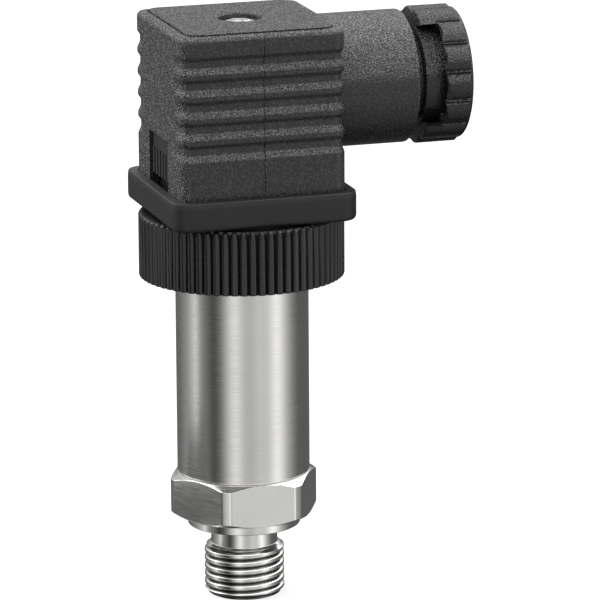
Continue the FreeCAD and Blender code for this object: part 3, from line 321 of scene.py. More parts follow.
class Finish:
    """A principled material with noise that varies its colour, roughness and fine relief."""

    def __init__(self, name, colour, metallic=0.0, gloss=0.5):
        self.material = bpy.data.materials.new(name)
        self.material.use_nodes = True
        self.nodes = self.material.node_tree.nodes
        self.links = self.material.node_tree.links
        self.shader = self.nodes["Principled BSDF"]
        self.shader.inputs["Metallic"].default_value = metallic
        self.shader.inputs["Specular IOR Level"].default_value = gloss
        self.colour = colour
        self.place = self.nodes.new("ShaderNodeTexCoord").outputs["Object"]
        self.mixed = None
        self.relief = None

    def math(self, operation, *items):
        return math_node(self.nodes, self.links, operation, *items)

    def parts(self, vector):
        """X, Y and Z of a vector socket."""
        split = self.nodes.new("ShaderNodeSeparateXYZ")
        self.links.new(vector, split.inputs[0])
        return tuple(split.outputs)

    def noise(self, size_mm, detail=2.0, stretch=(1.0, 1.0, 1.0)):
        """Noise whose grains are about size_mm across, stretched along the axes."""
        mapping = self.nodes.new("ShaderNodeMapping")
        mapping.inputs["Scale"].default_value = [1 / factor for factor in stretch]
        self.links.new(self.place, mapping.inputs["Vector"])
        texture = self.nodes.new("ShaderNodeTexNoise")
        texture.inputs["Scale"].default_value = 1 / (size_mm * MM)
        texture.inputs["Detail"].default_value = detail
        self.links.new(mapping.outputs[0], texture.inputs["Vector"])
        return texture.outputs["Fac"]

    def spread(self, source, low, high, start=0.3, end=0.7):
        """Maps the levels from start to end onto those from low to high."""
        node = self.nodes.new("ShaderNodeMapRange")
        self.links.new(source, node.inputs["Value"])
        node.inputs["From Min"].default_value = start
        node.inputs["From Max"].default_value = end
        node.inputs["To Min"].default_value = low
        node.inputs["To Max"].default_value = high
        return node.outputs["Result"]

    def mix_colour(self, share, first, second):
        """The base colour as a mix of two, each a colour or a socket."""
        node = self.nodes.new("ShaderNodeMix")
        node.data_type = "RGBA"
        self.links.new(share, node.inputs["Factor"])
        feed(self.links, first, node.inputs["A"])
        feed(self.links, second, node.inputs["B"])
        self.mixed = node.outputs["Result"]
        self.links.new(self.mixed, self.shader.inputs["Base Color"])

    def vary_colour(self, source, darker, lighter):
        tints = [[*(level * factor for level in self.colour), 1.0] for factor in (darker, lighter)]
        self.mix_colour(source, *tints)

    def vary_roughness(self, source, low, high):
        self.links.new(self.spread(source, low, high), self.shader.inputs["Roughness"])

    def grain_and_glint_by_facing(self):
        """Share of the grain and of the painted glints by facing: full on tops and on the sides across X,
        faint on the grip faces.
        """
        facing = self.parts(self.nodes.new("ShaderNodeTexCoord").outputs["Normal"])
        upwards = self.math("MULTIPLY", facing[2], GLINT_AND_GRAIN_UPWARDS)
        sideways = self.math("ABSOLUTE", facing[0])
        steepest = self.math("MAXIMUM", upwards, sideways)
        return self.math("MINIMUM", self.math("MAXIMUM", steepest, GLINT_AND_GRAIN_LEAST), 1.0)

    def paint_root_shade(self, level):
        """Painted shade in the thread roots below the undercut, by the distance from the Z axis."""
        x, y, z = self.parts(self.place)
        radius = self.math("SQRT", self.math("MULTIPLY_ADD", y, y, self.math("MULTIPLY", x, x)))
        root_shade_share = self.spread(radius, 1.0, 0.0, ROOT_SHADE_RADII[0] * MM, ROOT_SHADE_RADII[1] * MM)
        below = self.spread(z, 1.0, 0.0, ROOT_SHADE_HEIGHTS[0] * MM, ROOT_SHADE_HEIGHTS[1] * MM)
        self.mix_colour(self.math("MULTIPLY", root_shade_share, below), self.mixed, grey(level))

    def add_relief(self, source, depth_mm, strength=1.0):
        bump = self.nodes.new("ShaderNodeBump")
        bump.inputs["Distance"].default_value = depth_mm * MM
        feed(self.links, strength, bump.inputs["Strength"])
        self.links.new(source, bump.inputs["Height"])
        if self.relief is not None:
            self.links.new(self.relief, bump.inputs["Normal"])
        self.relief = bump.outputs["Normal"]
        self.links.new(self.relief, self.shader.inputs["Normal"])


def moulded(name, level, grain_mm, depth_mm, roughness, glint_level, gloss=0.5):
    """Black moulded plastic with an eroded grain, and painted glints in its colour that are strongest on
    faces turned up or across X.
    """
    finish = Finish(name, (level, level * 1.015, level * 1.005), gloss=gloss)
    grain = finish.noise(grain_mm, 1.0)
    speckle = finish.noise(grain_mm * SPECKLE_SIZE, 1.0)
    grain_and_glint = finish.grain_and_glint_by_facing()
    # Painted glints: the colour brightens at the speckles, most on faces turned up or across X
    painted_glints = finish.math("MULTIPLY", finish.spread(speckle, 0.0, 1.0, *GLINT_EDGES), grain_and_glint)
    finish.vary_colour(painted_glints, 0.75, glint_level)
    finish.vary_roughness(speckle, roughness - 0.08, roughness + 0.1)
    finish.add_relief(grain, depth_mm, grain_and_glint)
    return finish.material


def rubber(name, level):
    finish = Finish(name, (level, level * 1.03, level * 1.03), gloss=0.4)
    cloud = finish.noise(3.0, 3.0)
    fine = finish.noise(0.12, 2.0)
    finish.vary_colour(cloud, 0.8, 1.25)
    finish.vary_roughness(cloud, 0.4, 0.52)
    finish.add_relief(fine, 0.004)
    return finish.material


def steel(name, level, roughness, stretch, depth_mm, shade_roots=False):
    """Turned or brushed stainless steel with fine lines along the cut, and painted shade in the thread roots
    where asked.
    """
    finish = Finish(name, (level, level * 0.99, level * 0.965), metallic=1.0)
    lines = finish.noise(0.25, 4.0, stretch)
    cloud = finish.noise(6.0, 2.0)
    finish.vary_colour(cloud, 0.93, 1.05)
    finish.vary_roughness(lines, roughness - 0.05, roughness + 0.07)
    finish.add_relief(lines, depth_mm, 0.6)
    # Painted shade: the thread roots turn dark grey in colour
    if shade_roots:
        finish.paint_root_shade(ROOT_SHADE_LEVEL)
    return finish.material


def metal(name, colour, roughness):
    finish = Finish(name, colour, metallic=1.0)
    cloud = finish.noise(1.5, 3.0)
    finish.vary_colour(cloud, 0.85, 1.1)
    finish.vary_roughness(cloud, roughness - 0.06, roughness + 0.08)
    return finish.material


def board(name):
    """Glass-fibre board with solder resist and a faint weave."""
    finish = Finish(name, (0.03, 0.2, 0.08))
    weave = finish.noise(0.6, 2.0)
    finish.vary_colour(weave, 0.8, 1.2)
    finish.vary_roughness(weave, 0.28, 0.42)
    finish.add_relief(weave, 0.01)
    return finish.material


def ceramic(name):
    finish = Finish(name, (0.82, 0.8, 0.74))
    cloud = finish.noise(0.8, 3.0)
    finish.vary_colour(cloud, 0.94, 1.04)
    finish.vary_roughness(cloud, 0.5, 0.62)
    return finish.material


def make_materials():
    """One finish for each material slot of the record."""
    return {
        "turned_steel": steel("turned_steel", 0.77, 0.15, (12.0, 12.0, 0.6), 0.0003, shade_roots=True),
        "tube_steel": steel("tube_steel", 0.72, 0.22, (30.0, 30.0, 0.5), 0.0005),
        "screw_steel": metal("screw_steel", (0.85, 0.85, 0.84), 0.3),
        "brass": metal("brass", (0.72, 0.52, 0.24), 0.3),
        "tinned_brass": metal("tinned_brass", (0.75, 0.74, 0.7), 0.32),
        "gilt_pin": metal("gilt_pin", (0.83, 0.62, 0.26), 0.2),
        "ceramic": ceramic("ceramic"),
        "board": board("board"),
        # For the moulded plastics, the number after the roughness sets how bright the painted glints are
        "chip": moulded("chip", 0.03, 0.15, 0.01, 0.5, 1.3),
        "inner_plastic": moulded("inner_plastic", 0.03, 0.2, 0.01, 0.45, 1.2),
        "base_plastic": moulded("base_plastic", 0.03, 0.2, 0.01, 0.42, 1.2),
        "ring_plastic": moulded("ring_plastic", 0.008, 0.2, 0.01, 0.24, 1.4, 0.6),
        "gasket_rubber": rubber("gasket_rubber", 0.009),
        "seal_rubber": rubber("seal_rubber", 0.012),
        "housing_plastic": moulded("housing_plastic", 0.014, 0.3, 0.28, 0.24, 11.0),
        "cover_plastic": moulded("cover_plastic", 0.011, 0.3, 0.3, 0.28, 12.0, 0.34),
        "insert_plastic": moulded("insert_plastic", 0.016, 0.2, 0.01, 0.4, 1.3),
        "nut_plastic": moulded("nut_plastic", 0.008, 0.3, 0.26, 0.21, 10.0, 0.47),
    }


materials = make_materials()
slots = {row["node"]: row["material_slot"] for row in frame["record"]["subparts"]}
for label, node in frame["nodes"].items():
    node.data.materials.clear()
    node.data.materials.append(materials[slots[label]])


# Tools that make meshes

def make_mesh(label, vertices, faces):
    mesh = bpy.data.meshes.new(label)
    mesh.from_pydata(vertices, [], faces)
    shape = bmesh.new()
    shape.from_mesh(mesh)
    bmesh.ops.recalc_face_normals(shape, faces=shape.faces)
    shape.to_mesh(mesh)
    shape.free()
    return mesh


def add_piece(label, vertices, faces, node, smooth_angle=35.0):
    """A mesh from points in millimetres that stands for a CAD node and moves with its body."""
    mesh = make_mesh(label, [Vector(spot) * MM for spot in vertices], faces)
    return dress_piece(label, mesh, node, smooth_angle)


def dress_piece(label, mesh, node, smooth_angle):
    mesh.polygons.foreach_set("use_smooth", [True] * len(mesh.polygons))
    mesh.set_sharp_from_angle(angle=math.radians(smooth_angle))
    mesh.materials.clear()
    mesh.materials.append(materials[slots[node]])
    piece = bpy.data.objects.new(label, mesh)
    bpy.context.scene.collection.objects.link(piece)
    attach(piece, frame["nodes"][node]["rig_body"])
    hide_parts(node)
    return piece


def rounded(corners, steps=4):
    """A closed outline of (across, up, radius) corners with each corner turned into an arc."""
    points = []
    count = len(corners)
    for index, (across, up, radius) in enumerate(corners):
        spot = Vector((across, up))
        before = Vector(corners[index - 1][:2]) - spot
        after = Vector(corners[(index + 1) % count][:2]) - spot
        bend = before.angle(after)
        if radius <= 0 or bend > math.pi - 0.01:
            points.append(spot)
            continue
        reach = min(radius / math.tan(bend / 2), before.length * 0.49, after.length * 0.49)
        start, end = spot + before.normalized() * reach, spot + after.normalized() * reach
        for step in range(steps + 1):
            share = step / steps
            points.append(start * (1 - share) ** 2 + spot * 2 * share * (1 - share) + end * share ** 2)
    return points


def divided(points, longest, low, high):
    """The closed outline with extra points where it lies between two heights."""
    result = []
    for index, point in enumerate(points):
        following = points[(index + 1) % len(points)]
        result.append(point)
        inside = min(point.y, following.y) >= low - 1e-6 and max(point.y, following.y) <= high + 1e-6
        pieces = max(1, math.ceil((following - point).length / longest)) if inside else 1
        result += [point.lerp(following, step / pieces) for step in range(1, pieces)]
    return result


def loft(rings):
    """Vertices and faces of a closed skin through closed rings, the last one joined to the first."""
    count = len(rings[0])
    vertices = [spot for ring in rings for spot in ring]
    faces = []
    for row in range(len(rings)):
        here, there = row * count, (row + 1) % len(rings) * count
        for index in range(count):
            after = (index + 1) % count
            faces.append((here + index, here + after, there + after, there + index))
    return vertices, faces


def even_angles(columns):
    return [TURN * index / columns for index in range(columns)]


def turned_rings(outline, angles, radius_at=None):
    """Rings round the Z axis for an outline of (radius, height); radius_at may change each radius."""
    rings = []
    for point in outline:
        ring = []
        for angle in angles:
            radius = point.x if radius_at is None else radius_at(point.x, angle, point.y)
            ring.append((radius * math.cos(angle), radius * math.sin(angle), point.y))
        rings.append(ring)
    return rings


def soft_least(first, second, blend):
    """The lesser of two lengths, rounded over where they cross."""
    share = max(0.0, min(1.0, 0.5 + (second - first) / (2 * blend)))
    return second * (1 - share) + first * share - blend * share * (1 - share)


def soft_most(first, second, blend):
    return -soft_least(-first, -second, blend)


# Process connection with its pipe thread, hexagon and collar

PRESSURE_BORE = 1.75
TIP_RADIUS = 5.5
THREAD_PITCH = 1.337
THREAD_CREST = 6.55
THREAD_ROOT = 5.92
THREAD_FLANK = math.tan(math.radians(27.5))
THREAD_FOOT = 0.62
THREAD_BASE = 0.65
THREAD_ROUND = 0.26
THREAD_COLUMNS = 120
THREAD_ENTRY = 1.05
THREAD_RUNOUT = 0.75
CORE_TOP = -3.55
UNDERCUT = 5.45
UNDERCUT_FOOT = -3.3
COLLAR_RADIUS, COLLAR_TOP = 9.23, 1.8
HEX_APOTHEM, HEX_CORNER, HEX_TOP = 11.0, 12.25, 9.0
# The radius of the hexagon's turned chamfers at its two ends, and the heights where they meet the corners
CHAMFER_BELOW, CHAMFER_ABOVE = 10.95, 10.7
CHAMFER_FOOT, CHAMFER_TOP = 2.55, 8.1
HEX_BEYOND = 10.0
SHOULDER_RADIUS, SHOULDER_TOP = 10.55, 9.2
SOCKET_RADIUS, SOCKET_BORE, SOCKET_FLOOR = 9.83, 9.15, 5.2
GROOVE_OUTER, GROOVE_INNER, GROOVE_FLOOR = 7.35, 5.65, 3.9
EDGE_BLEND = 0.05
CHAMFER_STEP = 0.07
CONNECTION_COLUMNS = 360


def thread_ridge(tip):
    """The rounded ridge of the right-handed pipe thread, wound round the stud and cut off at its ends."""
    crest = THREAD_FOOT - (THREAD_CREST - THREAD_ROOT) * THREAD_FLANK
    profile = rounded([
        (-THREAD_BASE, THREAD_ROOT - 0.1, 0.0), (-THREAD_FOOT, THREAD_ROOT, 0.0),
        (-crest, THREAD_CREST, THREAD_ROUND), (crest, THREAD_CREST, THREAD_ROUND),
        (THREAD_FOOT, THREAD_ROOT, 0.0), (THREAD_BASE, THREAD_ROOT - 0.1, 0.0),
    ], 5)
    lowest = tip - THREAD_PITCH
    turns = math.ceil((UNDERCUT_FOOT - lowest) / THREAD_PITCH) + 1
    rings = []
    for step in range(THREAD_COLUMNS * turns + 1):
        angle = TURN * step / THREAD_COLUMNS
        middle = lowest + THREAD_PITCH * step / THREAD_COLUMNS
        rings.append([(up * math.cos(angle), up * math.sin(angle), middle + across)
                      for across, up in profile])
    ridge = capped(rings)
    inner, reach = 4.0, THREAD_CREST + 0.05
    low, high = tip + 0.02, UNDERCUT_FOOT - 0.05
    room = [Vector((inner, low)), Vector((TIP_RADIUS + 0.05, low)), Vector((reach, tip + THREAD_ENTRY)),
            Vector((reach, UNDERCUT_FOOT - THREAD_RUNOUT)), Vector((UNDERCUT + 0.1, high)),
            Vector((inner, high))]
    combine(ridge, "INTERSECT", [solid(*loft(turned_rings(room, even_angles(240))))])
    return ridge


def connection():
    low, high = extent("process_connection")
    tip, top = low.z, high.z
    outline = rounded([
        (PRESSURE_BORE, tip, 0.1), (TIP_RADIUS, tip, 0.05), (THREAD_ROOT, tip + 0.2, 0.0),
        (THREAD_ROOT, CORE_TOP, 0.0), (UNDERCUT, UNDERCUT_FOOT, 0.1), (UNDERCUT, 0.0, 0.12),
        (COLLAR_RADIUS, 0.0, 0.18), (COLLAR_RADIUS, COLLAR_TOP, 0.12), (CHAMFER_BELOW, COLLAR_TOP, 0.05),
        (HEX_CORNER, CHAMFER_FOOT, 0.08), (HEX_CORNER, CHAMFER_TOP, 0.08), (CHAMFER_ABOVE, HEX_TOP, 0.05),
        (SHOULDER_RADIUS, HEX_TOP, 0.0), (SHOULDER_RADIUS, SHOULDER_TOP, 0.0),
        (SOCKET_RADIUS, SHOULDER_TOP, 0.0), (SOCKET_RADIUS, top, 0.1), (SOCKET_BORE, top, 0.1),
        (SOCKET_BORE, SOCKET_FLOOR, 0.0), (GROOVE_OUTER, SOCKET_FLOOR, 0.0),
        (GROOVE_OUTER, GROOVE_FLOOR, 0.0), (GROOVE_INNER, GROOVE_FLOOR, 0.0),
        (GROOVE_INNER, SOCKET_FLOOR, 0.0), (PRESSURE_BORE, SOCKET_FLOOR, 0.1),
    ])
    outline = divided(outline, CHAMFER_STEP, COLLAR_TOP, CHAMFER_FOOT + 0.15)
    outline = divided(outline, CHAMFER_STEP, CHAMFER_TOP - 0.2, HEX_TOP)

    def surface(radius, angle, height):
        if COLLAR_TOP - 0.001 <= height <= HEX_TOP + 0.001 and radius > HEX_BEYOND:
            from_flat = angle % (TURN / 6) - TURN / 12
            return soft_least(radius, HEX_APOTHEM / math.cos(from_flat), EDGE_BLEND)
        return radius

    piece = solid(*loft(turned_rings(outline, even_angles(CONNECTION_COLUMNS), surface)))
    combine(piece, "UNION", [thread_ridge(tip)])
    finish_solid("connection", piece, "process_connection", 25.0)


TUBE_BORE, TUBE_RADIUS = 9.85, 10.85
FLANGE_THICKNESS = 2.0


def tube():
    low, high = extent("housing_tube")
    foot, top, flange = low.z, high.z, high.x
    under = top - FLANGE_THICKNESS
    outline = rounded([
        (TUBE_BORE, foot, 0.05), (TUBE_RADIUS, foot, 0.14), (TUBE_RADIUS, under, 0.1), (flange, under, 0.15),
        (flange, top, 0.15), (TUBE_BORE, top, 0.1),
    ])
    vertices, faces = loft(turned_rings(outline, even_angles(256)))
    add_piece("tube", vertices, faces, "housing_tube")


# Union ring with its knurled rim

KNURLS = 70
KNURL_COLUMNS = 12
KNURL_DEPTH = 0.65
KNURL_SHAPE = 3.2
KNURL_BLEND = 0.06
KNURLED_BEYOND = 15.0
# The ribs narrow towards their upper ends
RIB_END = 1.3
RIB_NARROWING = 1.3
RING_RADIUS = 16.74
RING_BORE = 10.97
RING_MOUTH = 14.08
RING_FLOOR = 2.3
RIM_BELOW, RIM_ABOVE = 1.0, 1.4
RIM_STEP = 0.12


def knurled_ring():
    low, high = extent("knurled_ring")
    foot, top = low.z, high.z

    def surface(turned_radius, angle, height):
        if turned_radius < KNURLED_BEYOND:
            return turned_radius
        across = abs((angle * KNURLS / TURN) % 1.0 * 2 - 1)
        narrowed = max(0.0, (height - top + RIB_END) / RIB_END)
        across = min(1.0, across * (1 + RIB_NARROWING * narrowed ** 2))
        ridge = RING_RADIUS - KNURL_DEPTH * across ** KNURL_SHAPE
        return soft_least(turned_radius, ridge, KNURL_BLEND)

    outline = rounded([
        (RING_BORE, foot, 0.1), (RING_RADIUS - 0.1, foot, 0.0), (RING_RADIUS, foot + 0.12, 0.05),
        (RING_RADIUS, foot + RIM_BELOW, 0.0), (RING_RADIUS, top - RIM_ABOVE, 0.0),
        (RING_RADIUS, top - 0.35, 0.25), (RING_RADIUS - 0.45, top, 0.2), (RING_MOUTH, top, 0.15),
        (RING_MOUTH, foot + RING_FLOOR, 0.0), (RING_BORE, foot + RING_FLOOR, 0.1),
    ], 6)
    outline = divided(outline, RIM_STEP, foot, foot + RIM_BELOW)
    outline = divided(outline, RIM_STEP, top - RIM_ABOVE, top)
    vertices, faces = loft(turned_rings(outline, even_angles(KNURLS * KNURL_COLUMNS), surface))
    add_piece("ring", vertices, faces, "knurled_ring", 40.0)


# Square pieces: rings of points that follow a rounded square

CORNER_STEPS = 10


def square_ring(half_x, half_y, corner, height):
    """A rounded rectangle as (x, y, z) points."""
    x, y = half_x - corner, half_y - corner
    ring = []
    for quarter, (centre_x, centre_y) in enumerate(((x, -y), (x, y), (-x, y), (-x, -y))):
        begin = -math.pi / 2 + quarter * math.pi / 2
        for step in range(CORNER_STEPS + 1):
            angle = begin + math.pi / 2 * step / CORNER_STEPS
            ring.append((centre_x + corner * math.cos(angle), centre_y + corner * math.sin(angle), height))
    return ring


GASKET_BORE = 10.5
GASKET_LIP = 13.56
GASKET_SEAT = 13.83
GASKET_UNDER = 1.5
GASKET_FLOOR = 2.7
GASKET_CORNER, GASKET_LEAST_CORNER = 3.0, 1.2


def gasket():
    low, high = extent("flange_gasket")
    foot, top, half = low.z, high.z, high.x
    under, floor = foot + GASKET_UNDER, foot + GASKET_FLOOR
    outline = rounded([
        (GASKET_BORE, under, 0.1), (GASKET_LIP, under, 0.1), (GASKET_LIP, foot, 0.15), (half, foot, 1.75),
        (half, top - 0.9, 0.5), (half - 0.12, top, 0.28), (GASKET_SEAT, top, 0.12), (GASKET_SEAT, floor, 0.1),
        (GASKET_BORE, floor, 0.1),
    ], 6)
    rings = []
    for reach, height in outline:
        corner = max(GASKET_LEAST_CORNER, GASKET_CORNER - (half - reach))
        rings.append(square_ring(reach, reach, corner, height))
    vertices, faces = loft(rings)
    add_piece("gasket", vertices, faces, "flange_gasket", 40.0)


# Solids in millimetres that are joined and cut into one piece

def solid(vertices, faces):
    mesh = make_mesh("solid", [Vector(spot) for spot in vertices], faces)
    piece = bpy.data.objects.new("solid", mesh)
    bpy.context.scene.collection.objects.link(piece)
    return piece


def capped(rings):
    """A solid through rings of points, closed by a flat face at each end."""
    vertices, faces = loft(rings)
    count = len(rings[0])
    faces = faces[:-count]
    faces.append(tuple(range(count)))
    faces.append(tuple(range(len(vertices) - count, len(vertices))))
    return solid(vertices, faces)


def combine(piece, operation, others):
    """Join the other solids to the piece, or cut them from it."""
    for other in others:
        modifier = piece.modifiers.new("combine", "BOOLEAN")
        modifier.operation = operation
        modifier.solver = "MANIFOLD"
        modifier.object = other
        graph = bpy.context.evaluated_depsgraph_get()
        result = bpy.data.meshes.new_from_object(piece.evaluated_get(graph))
        piece.modifiers.clear()
        piece.data = result
        bpy.data.objects.remove(other)


def finish_solid(label, piece, node, smooth_angle):
    """Turn a solid made in millimetres into a piece of the scene, with its flat faces shaded flat."""
    mesh = piece.data
    bpy.data.objects.remove(piece)
    mesh.transform(Matrix.Scale(MM, 4))
    piece = dress_piece(label, mesh, node, smooth_angle)
    weighted = piece.modifiers.new("flat_faces", "WEIGHTED_NORMAL")
    weighted.keep_sharp = True


def rod(radius, low, high):
    """An upright rod on the Z axis."""
    outline = [Vector((radius, low)), Vector((radius, high))]
    return capped(turned_rings(outline, even_angles(96)))


def slab(half_x, half_y, corner, low, high):
    """An upright block with rounded corners."""
    return capped([square_ring(half_x, half_y, corner, height) for height in (low, high)])


def box(low, high):
    """A plain box between two corners."""
    xs, ys, zs = zip(low, high)
    vertices = [(x, y, z) for z in zs for y in ys for x in xs]
    faces = [(0, 1, 3, 2), (4, 6, 7, 5), (0, 4, 5, 1), (2, 3, 7, 6), (0, 2, 6, 4), (1, 5, 7, 3)]
    return solid(vertices, faces)


def to_gland(rings):
    """Rings made about the Z axis, laid along X on the gland's axis."""
    return [[(z, y, GLAND_HEIGHT + x) for x, y, z in ring] for ring in rings]


def gland_turned(outline, columns):
    """A solid turned about the gland's axis from an outline of (radius, x), flat at both ends."""
    return capped(to_gland(turned_rings(outline, even_angles(columns))))


# Plug housing with its grip grooves, neck and window

GLAND_HEIGHT = 72.85
HOUSING_CORNER = 2.0
HOUSING_EDGE = 0.95
HOUSING_EDGE_STEPS = 8
HOUSING_FOOT = 0.12
HOUSING_WALL = 1.6
HOLLOW_TOP, HOLLOW_CORNER = 80.45, 1.0
BOSS_RADIUS, BOSS_FOOT, BOSS_TOP = 3.4, 65.52, 81.0
SCREW_HOLE = 1.8
HEAD_SEAT, HEAD_FLOOR = 3.55, 81.25
WINDOW_HALF, WINDOW_TOP, WINDOW_DEPTH = 5.45, 65.7, 2.4
WAVES = 5
WAVE_STEPS = 24
WAVE_PITCH = 3.53
WAVE_LOWEST = 65.25
WAVE_DEPTH = 0.46
# Where a groove starts to sink and to rise again, and over how much, all as shares of the pitch
WAVE_SINKS, WAVE_SINKING = 0.04, 0.38
WAVE_RISES, WAVE_RISING = 0.64, 0.26
WAVE_RUNOUT = 3.2
PARTING_WIDTH = 0.1
PARTING_DEPTH = 0.12
NECK_RADIUS = 10.87
NECK_START, NECK_END = 12.4, 27.2
NECK_BORE, NECK_MOUTH = 8.0, 8.4
BORE_START = 14.5
CABLE_RADIUS, CABLE_START, CABLE_END = 5.5, 10.57, 15.0
COVER_HALF_X, COVER_HALF_Y = 12.1, 12.55
COVER_CORNER = 2.0
COVER_FLOOR = 82.65
COVER_SEAM = 0.22


def eased(share):
    share = max(0.0, min(1.0, share))
    return share * share * (3 - 2 * share)


def wave(height):
    """How deep the grip groove is at a height, from 0 on a crest to 1 in a valley."""
    share = (height - WAVE_LOWEST) / WAVE_PITCH + 0.5
    if not 0 < share < WAVES:
        return 0.0
    share %= 1.0
    return eased((share - WAVE_SINKS) / WAVE_SINKING) * (1 - eased((share - WAVE_RISES) / WAVE_RISING))


def wall_stations(half):
    """Spots round the walls as (x, y, facing x, facing y, share of the groove, parting line or not)."""
    straight = half - HOUSING_CORNER
    ribbed = [(-0.6, 0), (-0.2, 0), (-PARTING_WIDTH / straight, 0), (0.0, 1), (PARTING_WIDTH / straight, 0),
              (0.2, 0), (0.6, 0)]
    fading = [WAVE_RUNOUT * step / 8 for step in range(1, 9)]
    plain = [-1 + away / straight for away in fading] + [-0.3, 0.0, 0.3]
    plain += [1 - away / straight for away in reversed(fading)]
    stations = []
    for quarter in range(4):
        facing = -math.pi / 2 + quarter * math.pi / 2
        out = Vector((math.cos(facing), math.sin(facing)))
        along = Vector((-out.y, out.x))
        if quarter % 2 == 0:
            for share, parted in ribbed:
                spot = out * half + along * straight * share
                stations.append((spot.x, spot.y, out.x, out.y, 1.0, parted))
        else:
            for share in plain:
                spot = out * half + along * straight * share
                gone = (1 - abs(share)) * straight / WAVE_RUNOUT
                left = 1 - eased(gone)
                stations.append((spot.x, spot.y, out.x, out.y, left, 0))
        centre = out * straight + along * straight
        for step in range(CORNER_STEPS + 1):
            angle = facing + math.pi / 2 * step / CORNER_STEPS
            turned = Vector((math.cos(angle), math.sin(angle)))
            spot = centre + turned * HOUSING_CORNER
            stations.append((spot.x, spot.y, turned.x, turned.y, 1.0, 0))
    return stations


def housing_block(foot, top, half):
    heights = [(foot, HOUSING_FOOT), (foot + HOUSING_FOOT, 0.0)]
    lowest, highest = WAVE_LOWEST - WAVE_PITCH / 2, WAVE_LOWEST + WAVE_PITCH * (WAVES - 0.5)
    steps = WAVES * WAVE_STEPS
    heights += [(lowest + (highest - lowest) * step / steps, 0.0) for step in range(steps + 1)]
    for step in range(HOUSING_EDGE_STEPS + 1):
        angle = math.pi / 2 * step / HOUSING_EDGE_STEPS
        height = top - HOUSING_EDGE + HOUSING_EDGE * math.sin(angle)
        heights.append((height, HOUSING_EDGE * (1 - math.cos(angle))))
    stations = wall_stations(half)
    rings = []
    for height, inset in heights:
        ring = []
        for x, y, facing_x, facing_y, share, parted in stations:
            sunk = inset + wave(height) * WAVE_DEPTH * share
            if parted:
                sunk += PARTING_DEPTH
            ring.append((x - facing_x * sunk, y - facing_y * sunk, height))
        rings.append(ring)
    return capped(rings)


def housing():
    low, high = extent("plug_housing")
    foot, top, half = low.z, high.z, high.y
    below, above = foot - 1.0, top + 1.0
    piece = housing_block(foot, top, half)
    neck = rounded([(NECK_RADIUS, NECK_START, 0.0), (NECK_RADIUS, NECK_END, 0.6),
                    (NECK_BORE, NECK_END, 0.0)], 6)
    combine(piece, "UNION", [gland_turned(neck, 256)])
    inside = half - HOUSING_WALL
    hollow = slab(inside, inside, HOLLOW_CORNER, below, HOLLOW_TOP)
    combine(hollow, "DIFFERENCE", [rod(BOSS_RADIUS, BOSS_FOOT, BOSS_TOP)])
    seat = slab(COVER_HALF_X + COVER_SEAM, COVER_HALF_Y + COVER_SEAM, COVER_CORNER + COVER_SEAM, COVER_FLOOR,
                above)
    window = box((-half - 1.0, -WINDOW_HALF, below), (-half + WINDOW_DEPTH, WINDOW_HALF, WINDOW_TOP))
    bore = [Vector((NECK_BORE, BORE_START)), Vector((NECK_BORE, NECK_END - 0.3)),
            Vector((NECK_MOUTH, NECK_END + 0.1))]
    cable = [Vector((CABLE_RADIUS, CABLE_START)), Vector((CABLE_RADIUS, CABLE_END))]
    combine(piece, "DIFFERENCE", [hollow, seat, window, gland_turned(bore, 128), gland_turned(cable, 128),
                                  rod(SCREW_HOLE, below, top), rod(HEAD_SEAT, HEAD_FLOOR, above)])
    finish_solid("housing", piece, "plug_housing", 32.0)


# Cover plate and the screw in its hole

COVER_EDGE, COVER_ROUND = 0.2, 0.16
HOLE_CHAMFER = 0.22
SHANK_RADIUS, SHANK_TIP = 1.45, 1.2
HEAD_RADIUS, HEAD_HEIGHT = 2.9, 1.5
CROSS_LENGTH, CROSS_WIDTH, CROSS_DEPTH = 1.9, 0.42, 0.7
# The share of its length that the cross has at its floor, and as far above the head as that is deep
CROSS_FLOOR, CROSS_MOUTH = 0.55, 1.05


def cover():
    low, high = extent("top_cover")
    edge = rounded([(0.0, low.z, 0.0), (COVER_EDGE, low.z, 0.0), (COVER_EDGE, high.z, COVER_ROUND),
                    (0.0, high.z, 0.0)], 5)
    rings = []
    for reach, height in edge[1:-1]:
        inset = COVER_EDGE - reach
        rings.append(square_ring(high.x - inset, high.y - inset, COVER_CORNER, height))
    piece = capped(rings)
    hole = [Vector((HEAD_SEAT, low.z - 1.0)), Vector((HEAD_SEAT, high.z - 0.2)),
            Vector((HEAD_SEAT + HOLE_CHAMFER, high.z + 0.02)), Vector((HEAD_SEAT + 0.3, high.z + 1.0))]
    combine(piece, "DIFFERENCE", [capped(turned_rings(hole, even_angles(128)))])
    finish_solid("cover", piece, "top_cover", 32.0)


def screw():
    low, high = extent("fixing_screw")
    tip, top = low.z, high.z
    under = top - HEAD_HEIGHT
    outline = rounded([
        (0.02, tip, 0.0), (SHANK_TIP, tip, 0.0), (SHANK_RADIUS, tip + 0.3, 0.0), (SHANK_RADIUS, under, 0.1),
        (HEAD_RADIUS, under, 0.15), (HEAD_RADIUS, top + 0.05, 0.3), (1.5, top + 0.5, 1.6),
        (0.02, top + 0.6, 0.0),
    ], 5)
    piece = capped(turned_rings(outline, even_angles(96)))
    bars = []
    for half_x, half_y in ((CROSS_LENGTH, CROSS_WIDTH), (CROSS_WIDTH, CROSS_LENGTH)):
        rings = []
        for height, share in ((top - CROSS_DEPTH, CROSS_FLOOR), (top + CROSS_DEPTH, CROSS_MOUTH)):
            rings.append([(half_x * share * a, half_y * (0.8 + share * 0.2) * b, height)
                          for a, b in ((-1, -1), (1, -1), (1, 1), (-1, 1))])
        bars.append(capped(rings))
    combine(piece, "DIFFERENCE", bars)
    finish_solid("screw", piece, "fixing_screw", 32.0)


# Gland nut with lugs, pockets and a lobed flange

